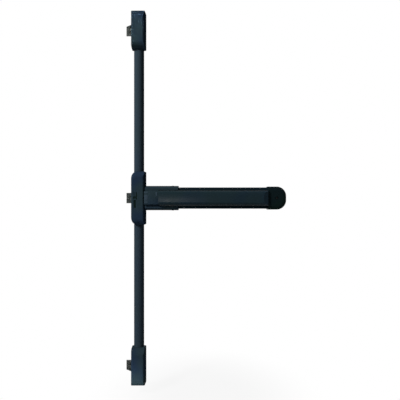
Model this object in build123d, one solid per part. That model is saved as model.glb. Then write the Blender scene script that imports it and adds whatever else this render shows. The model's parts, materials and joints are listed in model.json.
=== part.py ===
from build123d import *
import math
import os

# Three-point touch-bar exit device for the inside of a door, in millimetres.
# The door's face is the plane Y = 0 and the device stands on its -Y side.
# X = 0 is the axis of the vertical rods, +X runs along the bar, and Z = 0 is the bar's mid height.

# Travel
latch_throw = 19.0  # all three latches, the slide and both rods
pad_travel = 19.0  # the push pad, towards the door
tongue_travel = 14.0

# Clearances
running_gap = 0.3  # between pieces that slide on each other
shaft_gap = 0.05  # radial, round a pin or rod
seat_gap = 0.2  # between fixed covers and what they sit on
slot_gap = 0.3  # each side of a pin in its slot
mouth_gap = 0.6  # round a latch in its case's window
cut_past = 1.0  # how far a cut runs on past the face that it opens

# Cases
case_width = 58.0  # at the door
case_draft = 3.0  # each side, from the door to the front
case_depth = 50.0
case_wall = 2.0
case_edge_radius = 7.0
centre_case_height = 216.0
centre_end_radius = 26.0
centre_corner_radius = 24.0  # on the latch's side
case_corner_radius = 4.0
case_least_radius = 0.4
case_dome_steps = 6  # between the outlines that the rounded front is lofted through
end_case_height = 152.0
end_case_z = 684.0
end_case_outer_radius = 26.0
end_case_inner_radius = 26.0
strip_window_gap = 1.5
face_step_depth = 0.9
face_step_right_x = -6.0
face_step_low_z = 3.0
face_step_high_z = 24.0
face_slot_x = -11.5
face_slot_width = 4.0
face_slot_high_z = -9.0
face_slot_length = 27.0

# Base plates, their lugs and the cover screws
plate_thickness = 3.0
plate_gap = 0.5
lug_thickness = 2.0
lug_height = 16.0
lug_width = 12.0
lug_offset = 3.8  # from the case's side at the door to the lug's outer face
cover_screw_inset_centre = 28.0  # from the case's end
cover_screw_inset_end = 24.0
cover_screw_radius = 2.0
cover_screw_head_radius = 3.5
cover_screw_head_height = 2.0
cover_screw_slot_half = 0.5
cover_screw_length = 8.0
cover_screw_rise = 11.0  # from the door to the screw's axis
door_hole_radius = 2.75
centre_hole_side_inset = 11.0
centre_hole_end_inset = 16.0
end_hole_side_inset = 13.0
end_hole_end_inset = 14.0

# Latch bolts and guides
latch_proud = 3.0  # how far they still stand out when drawn in
latch_rise = 8.0  # from the door to the latch's back
latch_thickness = 20.0
centre_latch_height = 42.0
end_latch_height = 38.0
latch_tip_thickness = 3.0
latch_tip_radius = 1.2
latch_bevel_radius = 1.5
latch_rear_x = 3.0
latch_pin_inset = 6.0  # from the latch's rear end to its pin
latch_pin_radius = 2.5
latch_pin_depth = 8.0
drive_pin_depth = 6.0
drive_slot_depth = 7.0
latch_root_gap = 0.5  # bevel starts this far outside the case
guide_wall = 2.5
guide_front_wall = 2.7
guide_length = 17.5
guide_case_gap = 2.2
guide_side_gap = 0.3
pocket_width = 6.0
pocket_height = 8.0
pocket_depth = 9.0  # from the latch's front face
pocket_z = 9.5
latch_spring_z = 12.0
latch_spring_bore = 4.0
latch_spring_radius = 3.0
latch_spring_wire = 0.5
latch_spring_bore_length = 25.0
latch_spring_turns = 9
spring_stop_gap = 0.6  # from the latch's rear, drawn in, to the stop
spring_stop_thickness = 2.0
spring_stop_width = 34.0
spring_stop_height = 21.0

# Deadlatch tongue in the centre latch
tongue_height = 10.0
tongue_thickness = 9.0
tongue_rise = 10.0  # from the door to its back
tongue_tip_setback = 2.0
tongue_tip_thickness = 4.0
tongue_tip_radius = 0.8
tongue_length = 24.0
tongue_heel_height = 12.6
tongue_heel_length = 4.0
tongue_spring_packed = 6.0  # the spring's length when the tongue is in
tongue_spring_radius = 3.0
tongue_spring_wire = 0.4
tongue_spring_turns = 5

# Drive slide, rod blocks and rods
slide_guide_gap = 1.0  # from the latch guides to the slide's back
slide_thickness = 3.0
slide_web_edge = 2.5  # metal beside a slot
slide_strip_height = 24.0
slide_slot_start_z = 52.0
slide_web_margin = 8.0
slide_riser_x = 57.0
slide_foot_length = 43.0
rod_radius = 4.0
rod_rise = 16.0
rod_pin_radius = 2.5
rod_pin_proud = 2.5
rod_block_width = 14.0
rod_block_depth = 12.0
rod_block_height = 20.0
rod_block_overhang = 6.0  # below the pin
rod_end_gap = 1.0  # from the pin to the rod's end
rod_head_height = 18.0
rod_head_gap = 4.2  # between the rod head and the latch guide
rod_head_roof = 2.0  # metal past the rod's end
cam_plate_left_edge = 4.2
cam_plate_right_edge = 4.0
cam_plate_margin = 5.0

# Rod covers and guides
rod_cover_width = 40.0
rod_cover_depth = 25.0
rod_cover_side = 10.0
rod_cover_wall = 1.5
rod_cover_entry = 8.0  # how far it goes into each case
rod_guide_height = 14.0
rod_guide_near_z = 250.0
rod_guide_far_z = 470.0
rod_guide_hole_x = 12.0
rod_guide_hole_radius = 2.2
rod_guide_bore_gap = 0.08
rod_guide_boss = 6.0  # what the screw's head bears on
rod_guide_head_room = 4.6

# Rail
rail_start_x = 100.0
rail_end_x = 532.0
rail_height = 86.0
rail_depth = 40.0
rail_wall = 2.0
rail_corner_radius = 6.0
rail_lip = 11.0  # from the rail's edge to its opening
rail_screw_x = 140.0
rail_screw_radius = 2.0
rail_screw_head_radius = 3.6
rail_screw_head_height = 1.6
rail_screw_rise = 16.0
rail_screw_tip = 2.0  # past the rail's wall

# Bracket, front block and bar base plate
bracket_case_gap = 0.3
bracket_end_x = 163.0
bracket_rail_margin = 6.0  # how far it stands above and below the rail
bracket_front_margin = 5.0  # how far it stands in front of the rail
bracket_bevel_z = 8.5
bracket_bevel_y = 8.0
bracket_corner_radius = 3.0
bracket_wall = 2.5
bracket_collar = 5.0
bracket_pad_gap = 2.0
block_case_gap = 1.1
block_end_x = 85.0
block_overlap = 1.0  # how far it covers the bracket's opening
block_pad_step = 3.0  # how much shorter it is than the pad at top and bottom
block_depth = 10.0
block_wall = 2.0
block_edge_radius = 4.0
bar_plate_case_gap = 2.0
bar_plate_rail_gap = 2.0
bar_plate_side_gap = 2.5
bar_hole_near_inset = 9.0
bar_hole_far_inset = 10.0
bar_hole_z = 30.0

# Push pad
pad_block_gap = 3.0
pad_rail_inset = 28.0  # from the rail's outer end to the end of the pad's shell
pad_side_gap = 2.0
pad_proud = 26.0  # in front of the rail, at rest
pad_crown = 2.0
pad_wall = 2.5
pad_corner_radius = 15.0
pad_foot_lip_cover = 6.0  # how far its feet reach behind the rail's lips
pad_foot_thickness = 2.0
pad_inner_flange = 2.0
pad_outer_length = 20.0
pad_outer_drop = 7.0
pad_outer_radius = 5.0
pad_end_plug = 8.0
pad_end_wall = 2.0

# Bell cranks
crank_arm = 25.0
inner_pivot_inset = 115.0  # from the rail's inner end
outer_pivot_inset = 62.0  # from the rail's outer end
pivot_rise = 36.5
pivot_radius = 3.0
pivot_half_length = 14.0
crank_pin_radius = 2.5
crank_pad_pin_half = 9.0
crank_bar_pin_half = 8.5
crank_hub_radius = 6.5
crank_hub_half = 9.2
crank_arm_radius = 4.2
crank_arm_half = 4.0
pivot_ear_thickness = 2.5
pivot_ear_width = 18.0
pivot_ear_tip = 7.0
pivot_foot_length = 44.0
pivot_foot_height = 48.0
pivot_foot_thickness = 2.0
pad_bracket_length = 30.0
pad_bracket_height = 20.0
pad_bracket_thickness = 2.0
pad_ear_gap = 1.0
pad_ear_thickness = 2.5
pad_ear_width = 17.0
pad_ear_tip = 5.5
pad_bracket_seat = 0.3

# Pull bar
pull_bar_rise = 4.5
pull_bar_thickness = 2.5
pull_bar_height = 14.0
pull_bar_riser_gap = 7.0  # from the slide's riser to the bar's end
pull_bar_overrun = 12.0  # past its last tab
bar_tab_thickness = 2.5
bar_tab_width = 13.0
bar_tab_tip = 5.1
rivet_radius = 2.0
rivet_head_radius = 3.5
rivet_head_height = 1.2
rivet_inset = 10.0
rivet_pitch = 18.0

# Pad return springs and posts
pad_spring_pivot_gap = 45.0
pad_spring_side_gap = 7.1  # to the pad's side wall
pad_spring_radius = 5.5
pad_spring_wire = 0.9
pad_spring_turns = 9
pad_spring_seat = 0.4
post_radius = 4.0
post_height = 22.0

# End bracket, end cap and its screw
cap_rail_overlap = 7.0
cap_length = 74.0
cap_rail_margin = 3.5  # how far it stands above and below the rail
cap_front_margin = 10.0  # how far it stands in front of the rail
cap_wall = 2.5
cap_corner_radius = 38.0
cap_edge_radius = 18.0
cap_screw_inset = 34.0
cap_boss_radius = 8.5
cap_boss_depth = 10.0
cap_counterbore_radius = 5.8
cap_counterbore_depth = 5.5
cap_screw_radius = 2.0
cap_screw_head_radius = 4.2
cap_screw_head_height = 3.0
cap_screw_length = 16.0
cap_thread_run = 2.0  # past the screw's end
cap_cross_reach = 2.5
cap_cross_half = 0.6
cap_cross_depth = 1.5
cap_plug_depth = 10.0
end_plate_far_inset = 11.0
end_plate_side_inset = 12.5
end_tongue_reach = 28.0  # into the rail
end_tongue_side_gap = 11.0
end_tongue_overlap = 4.0
end_post_radius = 5.0
end_hole_far_inset = 24.0
end_hole_side_inset_bar = 24.5

# Worked-out sizes of the cases and latches
half_case = case_width / 2
latch_tip_x = -half_case - latch_throw - latch_proud
latch_back = -latch_rise
latch_front = latch_back - latch_thickness
latch_mid_y = (latch_back + latch_front) / 2
latch_pin_x = latch_rear_x - latch_pin_inset
guide_start_x = -half_case + case_wall + guide_case_gap
guide_end_x = guide_start_x + guide_length
guide_front = latch_front - running_gap - guide_front_wall
slide_back = guide_front - slide_guide_gap
slide_front = slide_back - slide_thickness
spring_stop_x = latch_rear_x + latch_throw + spring_stop_gap
tongue_tip_x = latch_tip_x + tongue_tip_setback
tongue_rear_x = tongue_tip_x + tongue_length
tongue_room_x = tongue_rear_x + tongue_travel + tongue_spring_packed
rod_slot_half = rod_pin_radius + slot_gap
latch_slot_half = latch_pin_radius + slot_gap
centre_case_half = centre_case_height / 2
centre_screw_z = centre_case_half - cover_screw_inset_centre
centre_hole_x = half_case - centre_hole_side_inset
centre_hole_z = centre_case_half - centre_hole_end_inset
end_case_half = end_case_height / 2
end_case_inner_z = end_case_z - end_case_half
end_screw_z = end_case_half - cover_screw_inset_end
end_hole_x = half_case - end_hole_side_inset
end_hole_z = end_case_half - end_hole_end_inset
end_guide_reach = end_latch_height / 2 + guide_side_gap + guide_wall

# Worked-out sizes of the bar
rail_opening = rail_height - 2 * rail_lip
bracket_start_x = half_case + bracket_case_gap
bracket_height = rail_height + 2 * bracket_rail_margin
bracket_depth = rail_depth + bracket_front_margin
bracket_opening_start = block_end_x - block_overlap
pad_height = rail_opening - 2 * pad_side_gap
pad_front = rail_depth + pad_proud
pad_start_x = block_end_x + pad_block_gap
pad_end_x = rail_end_x - pad_rail_inset
pad_back = -(rail_depth - rail_wall - running_gap)
bracket_opening_height = pad_height + 2 * bracket_pad_gap
block_start_x = half_case - case_draft * bracket_depth / case_depth + block_case_gap
block_height = pad_height - 2 * block_pad_step
bar_plate_start_x = half_case + bar_plate_case_gap
bar_plate_end_x = rail_start_x - bar_plate_rail_gap
bar_plate_height = bracket_height - 2 * (bracket_wall + bar_plate_side_gap)
bar_hole_near_x = bar_plate_start_x + bar_hole_near_inset
bar_hole_far_x = bar_plate_end_x - bar_hole_far_inset
inner_pivot_x = rail_start_x + inner_pivot_inset
outer_pivot_x = rail_end_x - outer_pivot_inset
half_swing = math.asin(pad_travel / 2 / crank_arm)
arm_reach_short = crank_arm * math.cos(half_swing)
arm_rise = crank_arm * math.sin(half_swing)
pivot_ear_inside = crank_hub_half + running_gap
pad_ear_inside = crank_arm_half + pad_ear_gap
pull_bar_start_x = slide_riser_x + pull_bar_riser_gap
pad_spring_z = pad_height / 2 - pad_wall - pad_spring_side_gap - pad_spring_wire - pad_spring_radius
pad_spring_near_x = inner_pivot_x + pad_spring_pivot_gap
pad_spring_far_x = outer_pivot_x - pad_spring_pivot_gap
cap_start_x = rail_end_x - cap_rail_overlap
cap_end_x = cap_start_x + cap_length
cap_height = rail_height + 2 * cap_rail_margin
cap_depth = rail_depth + cap_front_margin
cap_screw_x = cap_start_x + cap_screw_inset
end_plate_end_x = cap_end_x - end_plate_far_inset
end_plate_height = cap_height - 2 * end_plate_side_inset
end_tongue_start_x = rail_end_x - end_tongue_reach
end_tongue_height = rail_height - 2 * (rail_wall + end_tongue_side_gap)
bar_end_hole_x = cap_end_x - end_hole_far_inset
bar_end_hole_z = cap_height / 2 - end_hole_side_inset_bar


def block(x0, x1, y0, y1, z0, z1):
    """A box between two corners."""
    centre = Pos((x0 + x1) / 2, (y0 + y1) / 2, (z0 + z1) / 2)
    return centre * Box(x1 - x0, y1 - y0, z1 - z0)


def round_x(y, z, x0, x1, radius):
    """A round bar along X."""
    return Pos((x0 + x1) / 2, y, z) * Rot(0, 90, 0) * Cylinder(radius, x1 - x0)


def round_y(x, z, y0, y1, radius):
    """A round bar along Y."""
    return Pos(x, (y0 + y1) / 2, z) * Rot(90, 0, 0) * Cylinder(radius, y1 - y0)


def round_z(x, y, z0, z1, radius):
    """A round bar along Z."""
    return Pos(x, y, (z0 + z1) / 2) * Cylinder(radius, z1 - z0)


def outline(points, radii):
    """A flat polygon whose corners are rounded by their own radius; 0 leaves a corner sharp."""
    face = make_face(Polyline(*points, close=True))
    for (x, y), radius in zip(points, radii):
        if radius > 0:
            corner = face.vertices().sort_by_distance((x, y, 0))[0]
            face = fillet(corner, radius)
    return face


def prism_x(face, x0, x1):
    """A face drawn in (Y, Z), extruded along X."""
    return extrude(Plane.YZ.offset(x0) * face, x1 - x0)


def prism_y(face, y0, y1):
    """A face drawn in (X, Z), extruded along Y, from y1 towards the viewer to y0."""
    return extrude(Plane.XZ.offset(-y1) * face, y1 - y0)


def prism_z(face, z0, z1):
    """A face drawn in (X, Y), extruded along Z."""
    return extrude(Plane.XY.offset(z0) * face, z1 - z0)


def stadium(x0, y0, x1, y1, radius):
    """A flat slot shape of one radius round the line between two points."""
    length = math.hypot(x1 - x0, y1 - y0)
    turn = math.degrees(math.atan2(y1 - y0, x1 - x0))
    return Pos((x0 + x1) / 2, (y0 + y1) / 2) * Rot(0, 0, turn) * SlotCenterToCenter(length, 2 * radius)


def coil(length, radius, wire, turns):
    """A compression spring that stands on Z = 0 along +Z, within its stated length."""
    height = length - 2 * wire
    path = Helix(height / turns, height, radius)
    section = Plane(origin=path @ 0, z_dir=path % 0) * Circle(wire)
    return Pos(0, 0, wire) * sweep(section, path=path, is_frenet=True)


def write(node, *solids):
    """Writes one node's solids to its STEP file."""
    shape = solids[0] if len(solids) == 1 else Compound(children=list(solids))
    export_step(shape, f"parts/{node}.step")


def flip(shape):
    """The same piece below the bar: mirrored about Z = 0."""
    return mirror(shape, about=Plane.XY)


def quarter_inset(radius, past):
    """How far a rounded edge has come in at a depth past its start."""
    return radius - math.sqrt(max(radius**2 - max(past, 0) ** 2, 0))


def case_outline(y, inset, z_low, z_high, low_radius, high_radius, left_radius):
    """A case's outline at a depth, in its place."""
    depth = case_depth - inset
    edge = case_edge_radius - inset
    low_end = low_radius - inset
    high_end = high_radius - inset
    side_inset = inset + case_draft * y / case_depth + quarter_inset(edge, y - depth + edge)
    half = half_case - side_inset
    low = z_low + inset + quarter_inset(low_end, y - depth + low_end)
    high = z_high - inset - quarter_inset(high_end, y - depth + high_end)
    left = max(left_radius - side_inset, case_least_radius)
    right = max(case_corner_radius - side_inset, case_least_radius)
    face = outline([(-half, low), (half, low), (half, high), (-half, high)], [left, right, right, left])
    return Plane.XZ.offset(y) * face


def case_body(inset, z_low, z_high, low_radius, high_radius, left_radius):
    """A case's outer form, or with an inset its hollow: drafted walls under a rounded front."""
    shape = (inset, z_low, z_high, low_radius, high_radius, left_radius)
    depth = case_depth - inset
    dome_start = case_depth - max(low_radius, high_radius)
    turns = [math.pi / 2 * step / case_dome_steps for step in range(case_dome_steps + 1)]
    levels = [dome_start + (depth - dome_start) * math.sin(turn) for turn in turns]
    trunk = loft([case_outline(0, *shape), case_outline(dome_start, *shape)], ruled=True)
    return trunk + loft([case_outline(level, *shape) for level in levels])


def wall_x(y):
    """The outer face of a case's right wall at a depth."""
    return half_case + case_draft * y / case_depth


def cover_screw_seat():
    """Where the cover screws' heads sit on the right wall."""
    return wall_x(-cover_screw_rise - cover_screw_head_radius) - seat_gap


def cover_screw(z):
    """One side screw of a case cover, its head outside the right wall."""
    seat = cover_screw_seat()
    head = round_x(-cover_screw_rise, z, seat, seat + cover_screw_head_height, cover_screw_head_radius)
    shank = round_x(-cover_screw_rise, z, seat - cover_screw_length, seat, cover_screw_radius)
    slot = block(
        seat + cover_screw_head_height / 2,
        seat + cover_screw_head_height,
        -cover_screw_rise - cover_screw_slot_half,
        -cover_screw_rise + cover_screw_slot_half,
        z - cover_screw_head_radius,
        z + cover_screw_head_radius,
    )
    return head + shank - slot


def cut_screw_holes(cover, screw_zs):
    """Spot faces and holes for the side screws."""
    seat = cover_screw_seat()
    for z in screw_zs:
        face = round_x(-cover_screw_rise, z, seat, half_case + cut_past, cover_screw_head_radius + seat_gap)
        hole = round_x(-cover_screw_rise, z, seat - case_wall - cut_past, seat, cover_screw_radius + seat_gap)
        cover = cover - face - hole
    return cover


def door_hole(x, z):
    """A hole through a base plate for a screw into the door."""
    return round_y(x, z, -plate_thickness - cut_past, cut_past, door_hole_radius)


def base_plate(z_low, z_high, left_radius, screw_zs, hole_x, hole_zs, latch_z, rod_mouths):
    """A case's steel base plate, with its lugs, its spring stop and its door holes."""
    inset = case_wall + plate_gap
    half = half_case - inset
    face = outline(
        [
            (-half, z_low + inset),
            (half, z_low + inset),
            (half, z_high - inset),
            (-half, z_high - inset),
        ],
        [left_radius - inset, case_corner_radius - inset, case_corner_radius - inset, left_radius - inset],
    )
    plate = prism_y(face, -plate_thickness, 0)
    lug_outer = half_case - lug_offset
    for z in screw_zs:
        lug = block(
            lug_outer - lug_thickness,
            lug_outer,
            -plate_thickness - lug_height,
            -plate_thickness,
            z - lug_width / 2,
            z + lug_width / 2,
        )
        thread = round_x(-cover_screw_rise, z, 0, half_case, cover_screw_radius + shaft_gap)
        plate = plate + (lug - thread)
    stop = block(
        spring_stop_x,
        spring_stop_x + spring_stop_thickness,
        -plate_thickness - spring_stop_height,
        -plate_thickness,
        latch_z - spring_stop_width / 2,
        latch_z + spring_stop_width / 2,
    )
    plate = plate + stop
    for x in (-hole_x, hole_x):
        for z in hole_zs:
            plate = plate - door_hole(x, z)
    for mouth in rod_mouths:
        plate = plate - rod_mouth(*mouth)
    return plate


def d_section(half, side, depth):
    """The rod cover's section in (X, Y): straight sides and a round front."""
    edges = [
        Line((-half, 0), (-half, -side)),
        ThreePointArc((-half, -side), (0, -depth), (half, -side)),
        Line((half, -side), (half, 0)),
        Line((half, 0), (-half, 0)),
    ]
    return make_face(edges)


def rod_cover_section(grow):
    """The rod cover's section, grown or shrunk all round."""
    return d_section(rod_cover_width / 2 + grow, rod_cover_side, rod_cover_depth + grow)


def latch_mouth(height, z):
    """The window in a case's left wall that the latch comes out of."""
    return block(
        -half_case - cut_past,
        guide_start_x,
        latch_front - mouth_gap,
        latch_back + mouth_gap,
        z - height / 2 - mouth_gap,
        z + height / 2 + mouth_gap,
    )


def rod_mouth(z0, z1):
    """The window in a case's end wall that the rod cover goes into."""
    return prism_z(rod_cover_section(seat_gap), z0, z1)


def centre_rod_mouths():
    """Where the rod covers go into the centre case, from and to in Z."""
    near = centre_case_half - rod_cover_entry - seat_gap
    far = centre_case_half + cut_past
    return [(near, far), (-far, -near)]


def end_rod_mouth():
    """Where the rod cover goes into the top case."""
    return (end_case_inner_z - cut_past, end_case_inner_z + rod_cover_entry + seat_gap)


def centre_cover():
    """The centre case's cover, open at the door side."""
    shape = (centre_end_radius, centre_end_radius, centre_corner_radius)
    outer = case_body(0, -centre_case_half, centre_case_half, *shape)
    inner = case_body(case_wall, -centre_case_half, centre_case_half, *shape)
    cover = outer - inner
    cover = cover - latch_mouth(centre_latch_height, 0)
    for mouth in centre_rod_mouths():
        cover = cover - rod_mouth(*mouth)
    strip_window = block(
        0,
        half_case + cut_past,
        slide_front - strip_window_gap,
        slide_back + strip_window_gap,
        -slide_strip_height / 2 - strip_window_gap,
        slide_strip_height / 2 + strip_window_gap,
    )
    cover = cover - strip_window
    cover = cover - face_step() - face_slot()
    return cut_screw_holes(cover, (-centre_screw_z, centre_screw_z))


def face_step():
    """The shallow step in the centre cover's face beside the latch."""
    return block(
        -half_case,
        face_step_right_x,
        -case_depth - cut_past,
        -case_depth + face_step_depth,
        face_step_low_z,
        face_step_high_z,
    )


def face_slot():
    """The narrow upright slot in the centre cover's face, below the step."""
    radius = face_slot_width / 2
    low = face_slot_high_z - face_slot_length
    face = stadium(face_slot_x, low + radius, face_slot_x, face_slot_high_z - radius, radius)
    return prism_y(face, -case_depth - cut_past, -case_depth + case_wall + cut_past)


def end_cover():
    """The top case's cover, open at the door side."""
    low = end_case_inner_z
    high = end_case_z + end_case_half
    shape = (end_case_inner_radius, end_case_outer_radius, case_corner_radius)
    cover = case_body(0, low, high, *shape) - case_body(case_wall, low, high, *shape)
    cover = cover - latch_mouth(end_latch_height, end_case_z)
    cover = cover - rod_mouth(*end_rod_mouth())
    return cut_screw_holes(cover, (end_case_z - end_screw_z, end_case_z + end_screw_z))


def latch_guide(height, z):
    """The cast guide on the base plate that the latch slides in."""
    reach = height / 2 + guide_side_gap + guide_wall
    body = block(guide_start_x, guide_end_x, guide_front, -plate_thickness, z - reach, z + reach)
    channel = block(
        guide_start_x - cut_past,
        guide_end_x + cut_past,
        latch_front - running_gap,
        latch_back + running_gap,
        z - height / 2 - guide_side_gap,
        z + height / 2 + guide_side_gap,
    )
    return body - channel


def latch_blank(height, z):
    """The latch with its bevel on the viewer's side and its spring bores."""
    bevel_x = -half_case - latch_root_gap
    face = outline(
        [
            (latch_tip_x, latch_back),
            (latch_tip_x, latch_back - latch_tip_thickness),
            (bevel_x, latch_front),
            (latch_rear_x, latch_front),
            (latch_rear_x, latch_back),
        ],
        [0, latch_tip_radius, latch_bevel_radius, 0, 0],
    )
    latch = prism_z(face, z - height / 2, z + height / 2)
    for side in (-1, 1):
        latch = latch - round_x(
            latch_mid_y,
            z + side * latch_spring_z,
            latch_rear_x - latch_spring_bore_length,
            latch_rear_x + cut_past,
            latch_spring_bore,
        )
    return latch


def centre_latch():
    """The centre latch: a blank with a slot for the drive pin and a channel for the tongue."""
    latch = latch_blank(centre_latch_height, 0)
    slot = prism_y(
        stadium(latch_pin_x - latch_throw, 0, latch_pin_x, 0, latch_slot_half),
        latch_front - cut_past,
        latch_front + drive_slot_depth,
    )
    channel = block(
        latch_tip_x - cut_past,
        tongue_room_x,
        -tongue_rise - tongue_thickness - running_gap,
        -tongue_rise + running_gap,
        -tongue_height / 2 - running_gap,
        tongue_height / 2 + running_gap,
    )
    heel_room = block(
        tongue_rear_x - tongue_heel_length - running_gap,
        tongue_room_x,
        -tongue_rise - tongue_thickness - running_gap,
        -tongue_rise + running_gap,
        -tongue_heel_height / 2 - running_gap,
        tongue_heel_height / 2 + running_gap,
    )
    return latch - slot - channel - heel_room


def end_latch():
    """The top latch: a blank with a pin hole and two shallow pockets at its root."""
    latch = latch_blank(end_latch_height, end_case_z)
    latch = latch - round_y(
        latch_pin_x, end_case_z, latch_front - cut_past, latch_front + latch_pin_depth, latch_pin_radius
    )
    pocket_x = -half_case - latch_root_gap
    for side in (-1, 1):
        z = end_case_z + side * pocket_z
        latch = latch - block(
            pocket_x - pocket_width,
            pocket_x,
            latch_front - cut_past,
            latch_front + pocket_depth,
            z - pocket_height / 2,
            z + pocket_height / 2,
        )
    return latch


def latch_springs(z):
    """Two springs between the latch's bores and the base plate's stop."""
    start = latch_rear_x - latch_spring_bore_length
    length = spring_stop_x - start
    spring = Rot(0, 90, 0) * coil(length, latch_spring_radius, latch_spring_wire, latch_spring_turns)
    return [Pos(start, latch_mid_y, z + side * latch_spring_z) * spring for side in (-1, 1)]


def deadlatch_tongue():
    """The small bevelled tongue in the centre latch, with its heel."""
    back = -tongue_rise
    front = back - tongue_thickness
    bevel = tongue_thickness - tongue_tip_thickness
    face = outline(
        [
            (tongue_tip_x, back),
            (tongue_tip_x, back - tongue_tip_thickness),
            (tongue_tip_x + bevel, front),
            (tongue_rear_x, front),
            (tongue_rear_x, back),
        ],
        [0, tongue_tip_radius, 0, 0, 0],
    )
    tongue = prism_z(face, -tongue_height / 2, tongue_height / 2)
    heel_start = tongue_rear_x - tongue_heel_length
    heel_half = tongue_heel_height / 2
    heel = block(heel_start, tongue_rear_x, front, back, -heel_half, heel_half)
    return tongue + heel


def deadlatch_spring():
    """The tongue's spring, in the channel behind it."""
    length = tongue_room_x - tongue_rear_x
    spring = coil(length, tongue_spring_radius, tongue_spring_wire, tongue_spring_turns)
    return Pos(tongue_rear_x, -tongue_rise - tongue_thickness / 2, 0) * Rot(0, 90, 0) * spring


def drive_slide():
    """The slide: a web with two slanted slots, a strip, a riser and a foot for the pull bar."""
    web_half = slide_slot_start_z + slide_web_margin
    web_edge = rod_slot_half + slide_web_edge
    slide = block(-latch_throw - web_edge, web_edge, slide_front, slide_back, -web_half, web_half)
    end_z = slide_slot_start_z - latch_throw
    for side in (-1, 1):
        face = stadium(0, side * slide_slot_start_z, -latch_throw, side * end_z, rod_slot_half)
        slide = slide - prism_y(face, slide_front - cut_past, slide_back + cut_past)
    strip_half = slide_strip_height / 2
    riser_end = slide_riser_x + slide_thickness
    foot_back = -pull_bar_rise - pull_bar_thickness
    foot_front = foot_back - slide_thickness
    strip = block(0, riser_end, slide_front, slide_back, -strip_half, strip_half)
    riser = block(slide_riser_x, riser_end, slide_front, foot_back, -strip_half, strip_half)
    foot_end = slide_riser_x + slide_foot_length
    foot = block(slide_riser_x, foot_end, foot_front, foot_back, -strip_half, strip_half)
    slide = slide + strip + riser + foot
    slide = slide - round_y(latch_pin_x, 0, slide_front - cut_past, slide_back + cut_past, latch_pin_radius)
    for x in rivet_places():
        slide = slide - round_y(x, 0, foot_front - cut_past, foot_back + cut_past, rivet_radius)
    return slide


def rivet_places():
    """The two rivets that hold the pull bar under the slide's foot."""
    first = pull_bar_start_x + rivet_inset
    return (first, first + rivet_pitch)


def rivets():
    """The rivets, with a head on each side."""
    foot_front = -pull_bar_rise - pull_bar_thickness - slide_thickness
    made = []
    for x in rivet_places():
        shank = round_y(x, 0, foot_front, -pull_bar_rise, rivet_radius)
        front = round_y(x, 0, foot_front - rivet_head_height, foot_front, rivet_head_radius)
        back = round_y(x, 0, -pull_bar_rise, -pull_bar_rise + rivet_head_height, rivet_head_radius)
        made.append(front + shank + back)
    return made


def rod_block():
    """The block on the upper rod's lower end, with bores for the rod and its pin."""
    low = slide_slot_start_z - rod_block_overhang
    front = -rod_rise - rod_block_depth / 2
    body = block(
        -rod_block_width / 2,
        rod_block_width / 2,
        front,
        front + rod_block_depth,
        low,
        low + rod_block_height,
    )
    bore = round_z(0, -rod_rise, rod_bottom(), low + rod_block_height + cut_past, rod_radius + shaft_gap)
    pin_hole = round_y(0, slide_slot_start_z, front - cut_past, -rod_rise, rod_pin_radius)
    return body - bore - pin_hole


def rod_bottom():
    """The upper rod's lower end, just above the pin in its block."""
    return slide_slot_start_z + rod_pin_radius + rod_end_gap


def rod_pin():
    """The pin of the upper rod's block, through the slide's slanted slot."""
    return round_y(0, slide_slot_start_z, slide_front - rod_pin_proud, -rod_rise, rod_pin_radius)


def rod_head_low():
    """The lower end of the upper rod's head."""
    return end_case_z - end_guide_reach - rod_head_gap - rod_head_height


def upper_rod():
    """The upper rod, from its block to its head."""
    top = rod_head_low() + rod_head_height - rod_head_roof
    return round_z(0, -rod_rise, rod_bottom(), top, rod_radius)


def rod_head():
    """The block on the upper rod's far end that carries the cam plate."""
    low = rod_head_low()
    half = rod_block_width / 2
    body = block(-half, half, slide_back, -rod_rise + rod_block_depth / 2, low, low + rod_head_height)
    roof = low + rod_head_height - rod_head_roof
    bore = round_z(0, -rod_rise, low - cut_past, roof, rod_radius + shaft_gap)
    return body - bore


def cam_plate():
    """The plate that draws the top latch in: its window has one slanted edge."""
    half = latch_slot_half
    low = rod_head_low()
    start = (latch_pin_x, end_case_z)
    corner = (latch_pin_x + latch_throw, end_case_z)
    top = (latch_pin_x + latch_throw, end_case_z + latch_throw)
    left = latch_pin_x - half - cam_plate_left_edge
    right = latch_pin_x + latch_throw + half + cam_plate_right_edge
    plate = block(left, right, slide_front, slide_back, low, top[1] + half + cam_plate_margin)
    middle = make_face(Polyline(start, corner, top, close=True))
    edges = [stadium(*start, *top, half), stadium(*start, *corner, half), stadium(*corner, *top, half)]
    for face in [middle] + edges:
        plate = plate - prism_y(face, slide_front - cut_past, slide_back + cut_past)
    return plate


def latch_pin(back_end):
    """A pin that joins a latch to the plate in front of it."""
    return round_y(latch_pin_x, 0, slide_front - rod_pin_proud, back_end, latch_pin_radius)


def upper_rod_cover():
    """The upper rod's cover, a thin shell open at the door side."""
    low = centre_case_half - rod_cover_entry
    high = end_case_inner_z + rod_cover_entry
    return prism_z(rod_cover_section(0) - rod_cover_section(-rod_cover_wall), low, high)


def rod_guides():
    """The two moulded guides inside the upper rod cover, each with a bore and a screw hole."""
    made = []
    for z in (rod_guide_near_z, rod_guide_far_z):
        section = rod_cover_section(-rod_cover_wall - running_gap)
        guide = prism_z(section, z - rod_guide_height / 2, z + rod_guide_height / 2)
        bore_radius = rod_radius + rod_guide_bore_gap
        bore = round_z(0, -rod_rise, z - rod_guide_height, z + rod_guide_height, bore_radius)
        hole = round_y(rod_guide_hole_x, z, -rod_cover_depth, cut_past, rod_guide_hole_radius)
        head_room = block(
            rod_guide_hole_x - rod_guide_head_room,
            rod_cover_width / 2,
            -rod_cover_depth,
            -rod_guide_boss,
            z - rod_guide_height,
            z + rod_guide_height,
        )
        made.append(guide - bore - hole - head_room)
    return made


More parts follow.
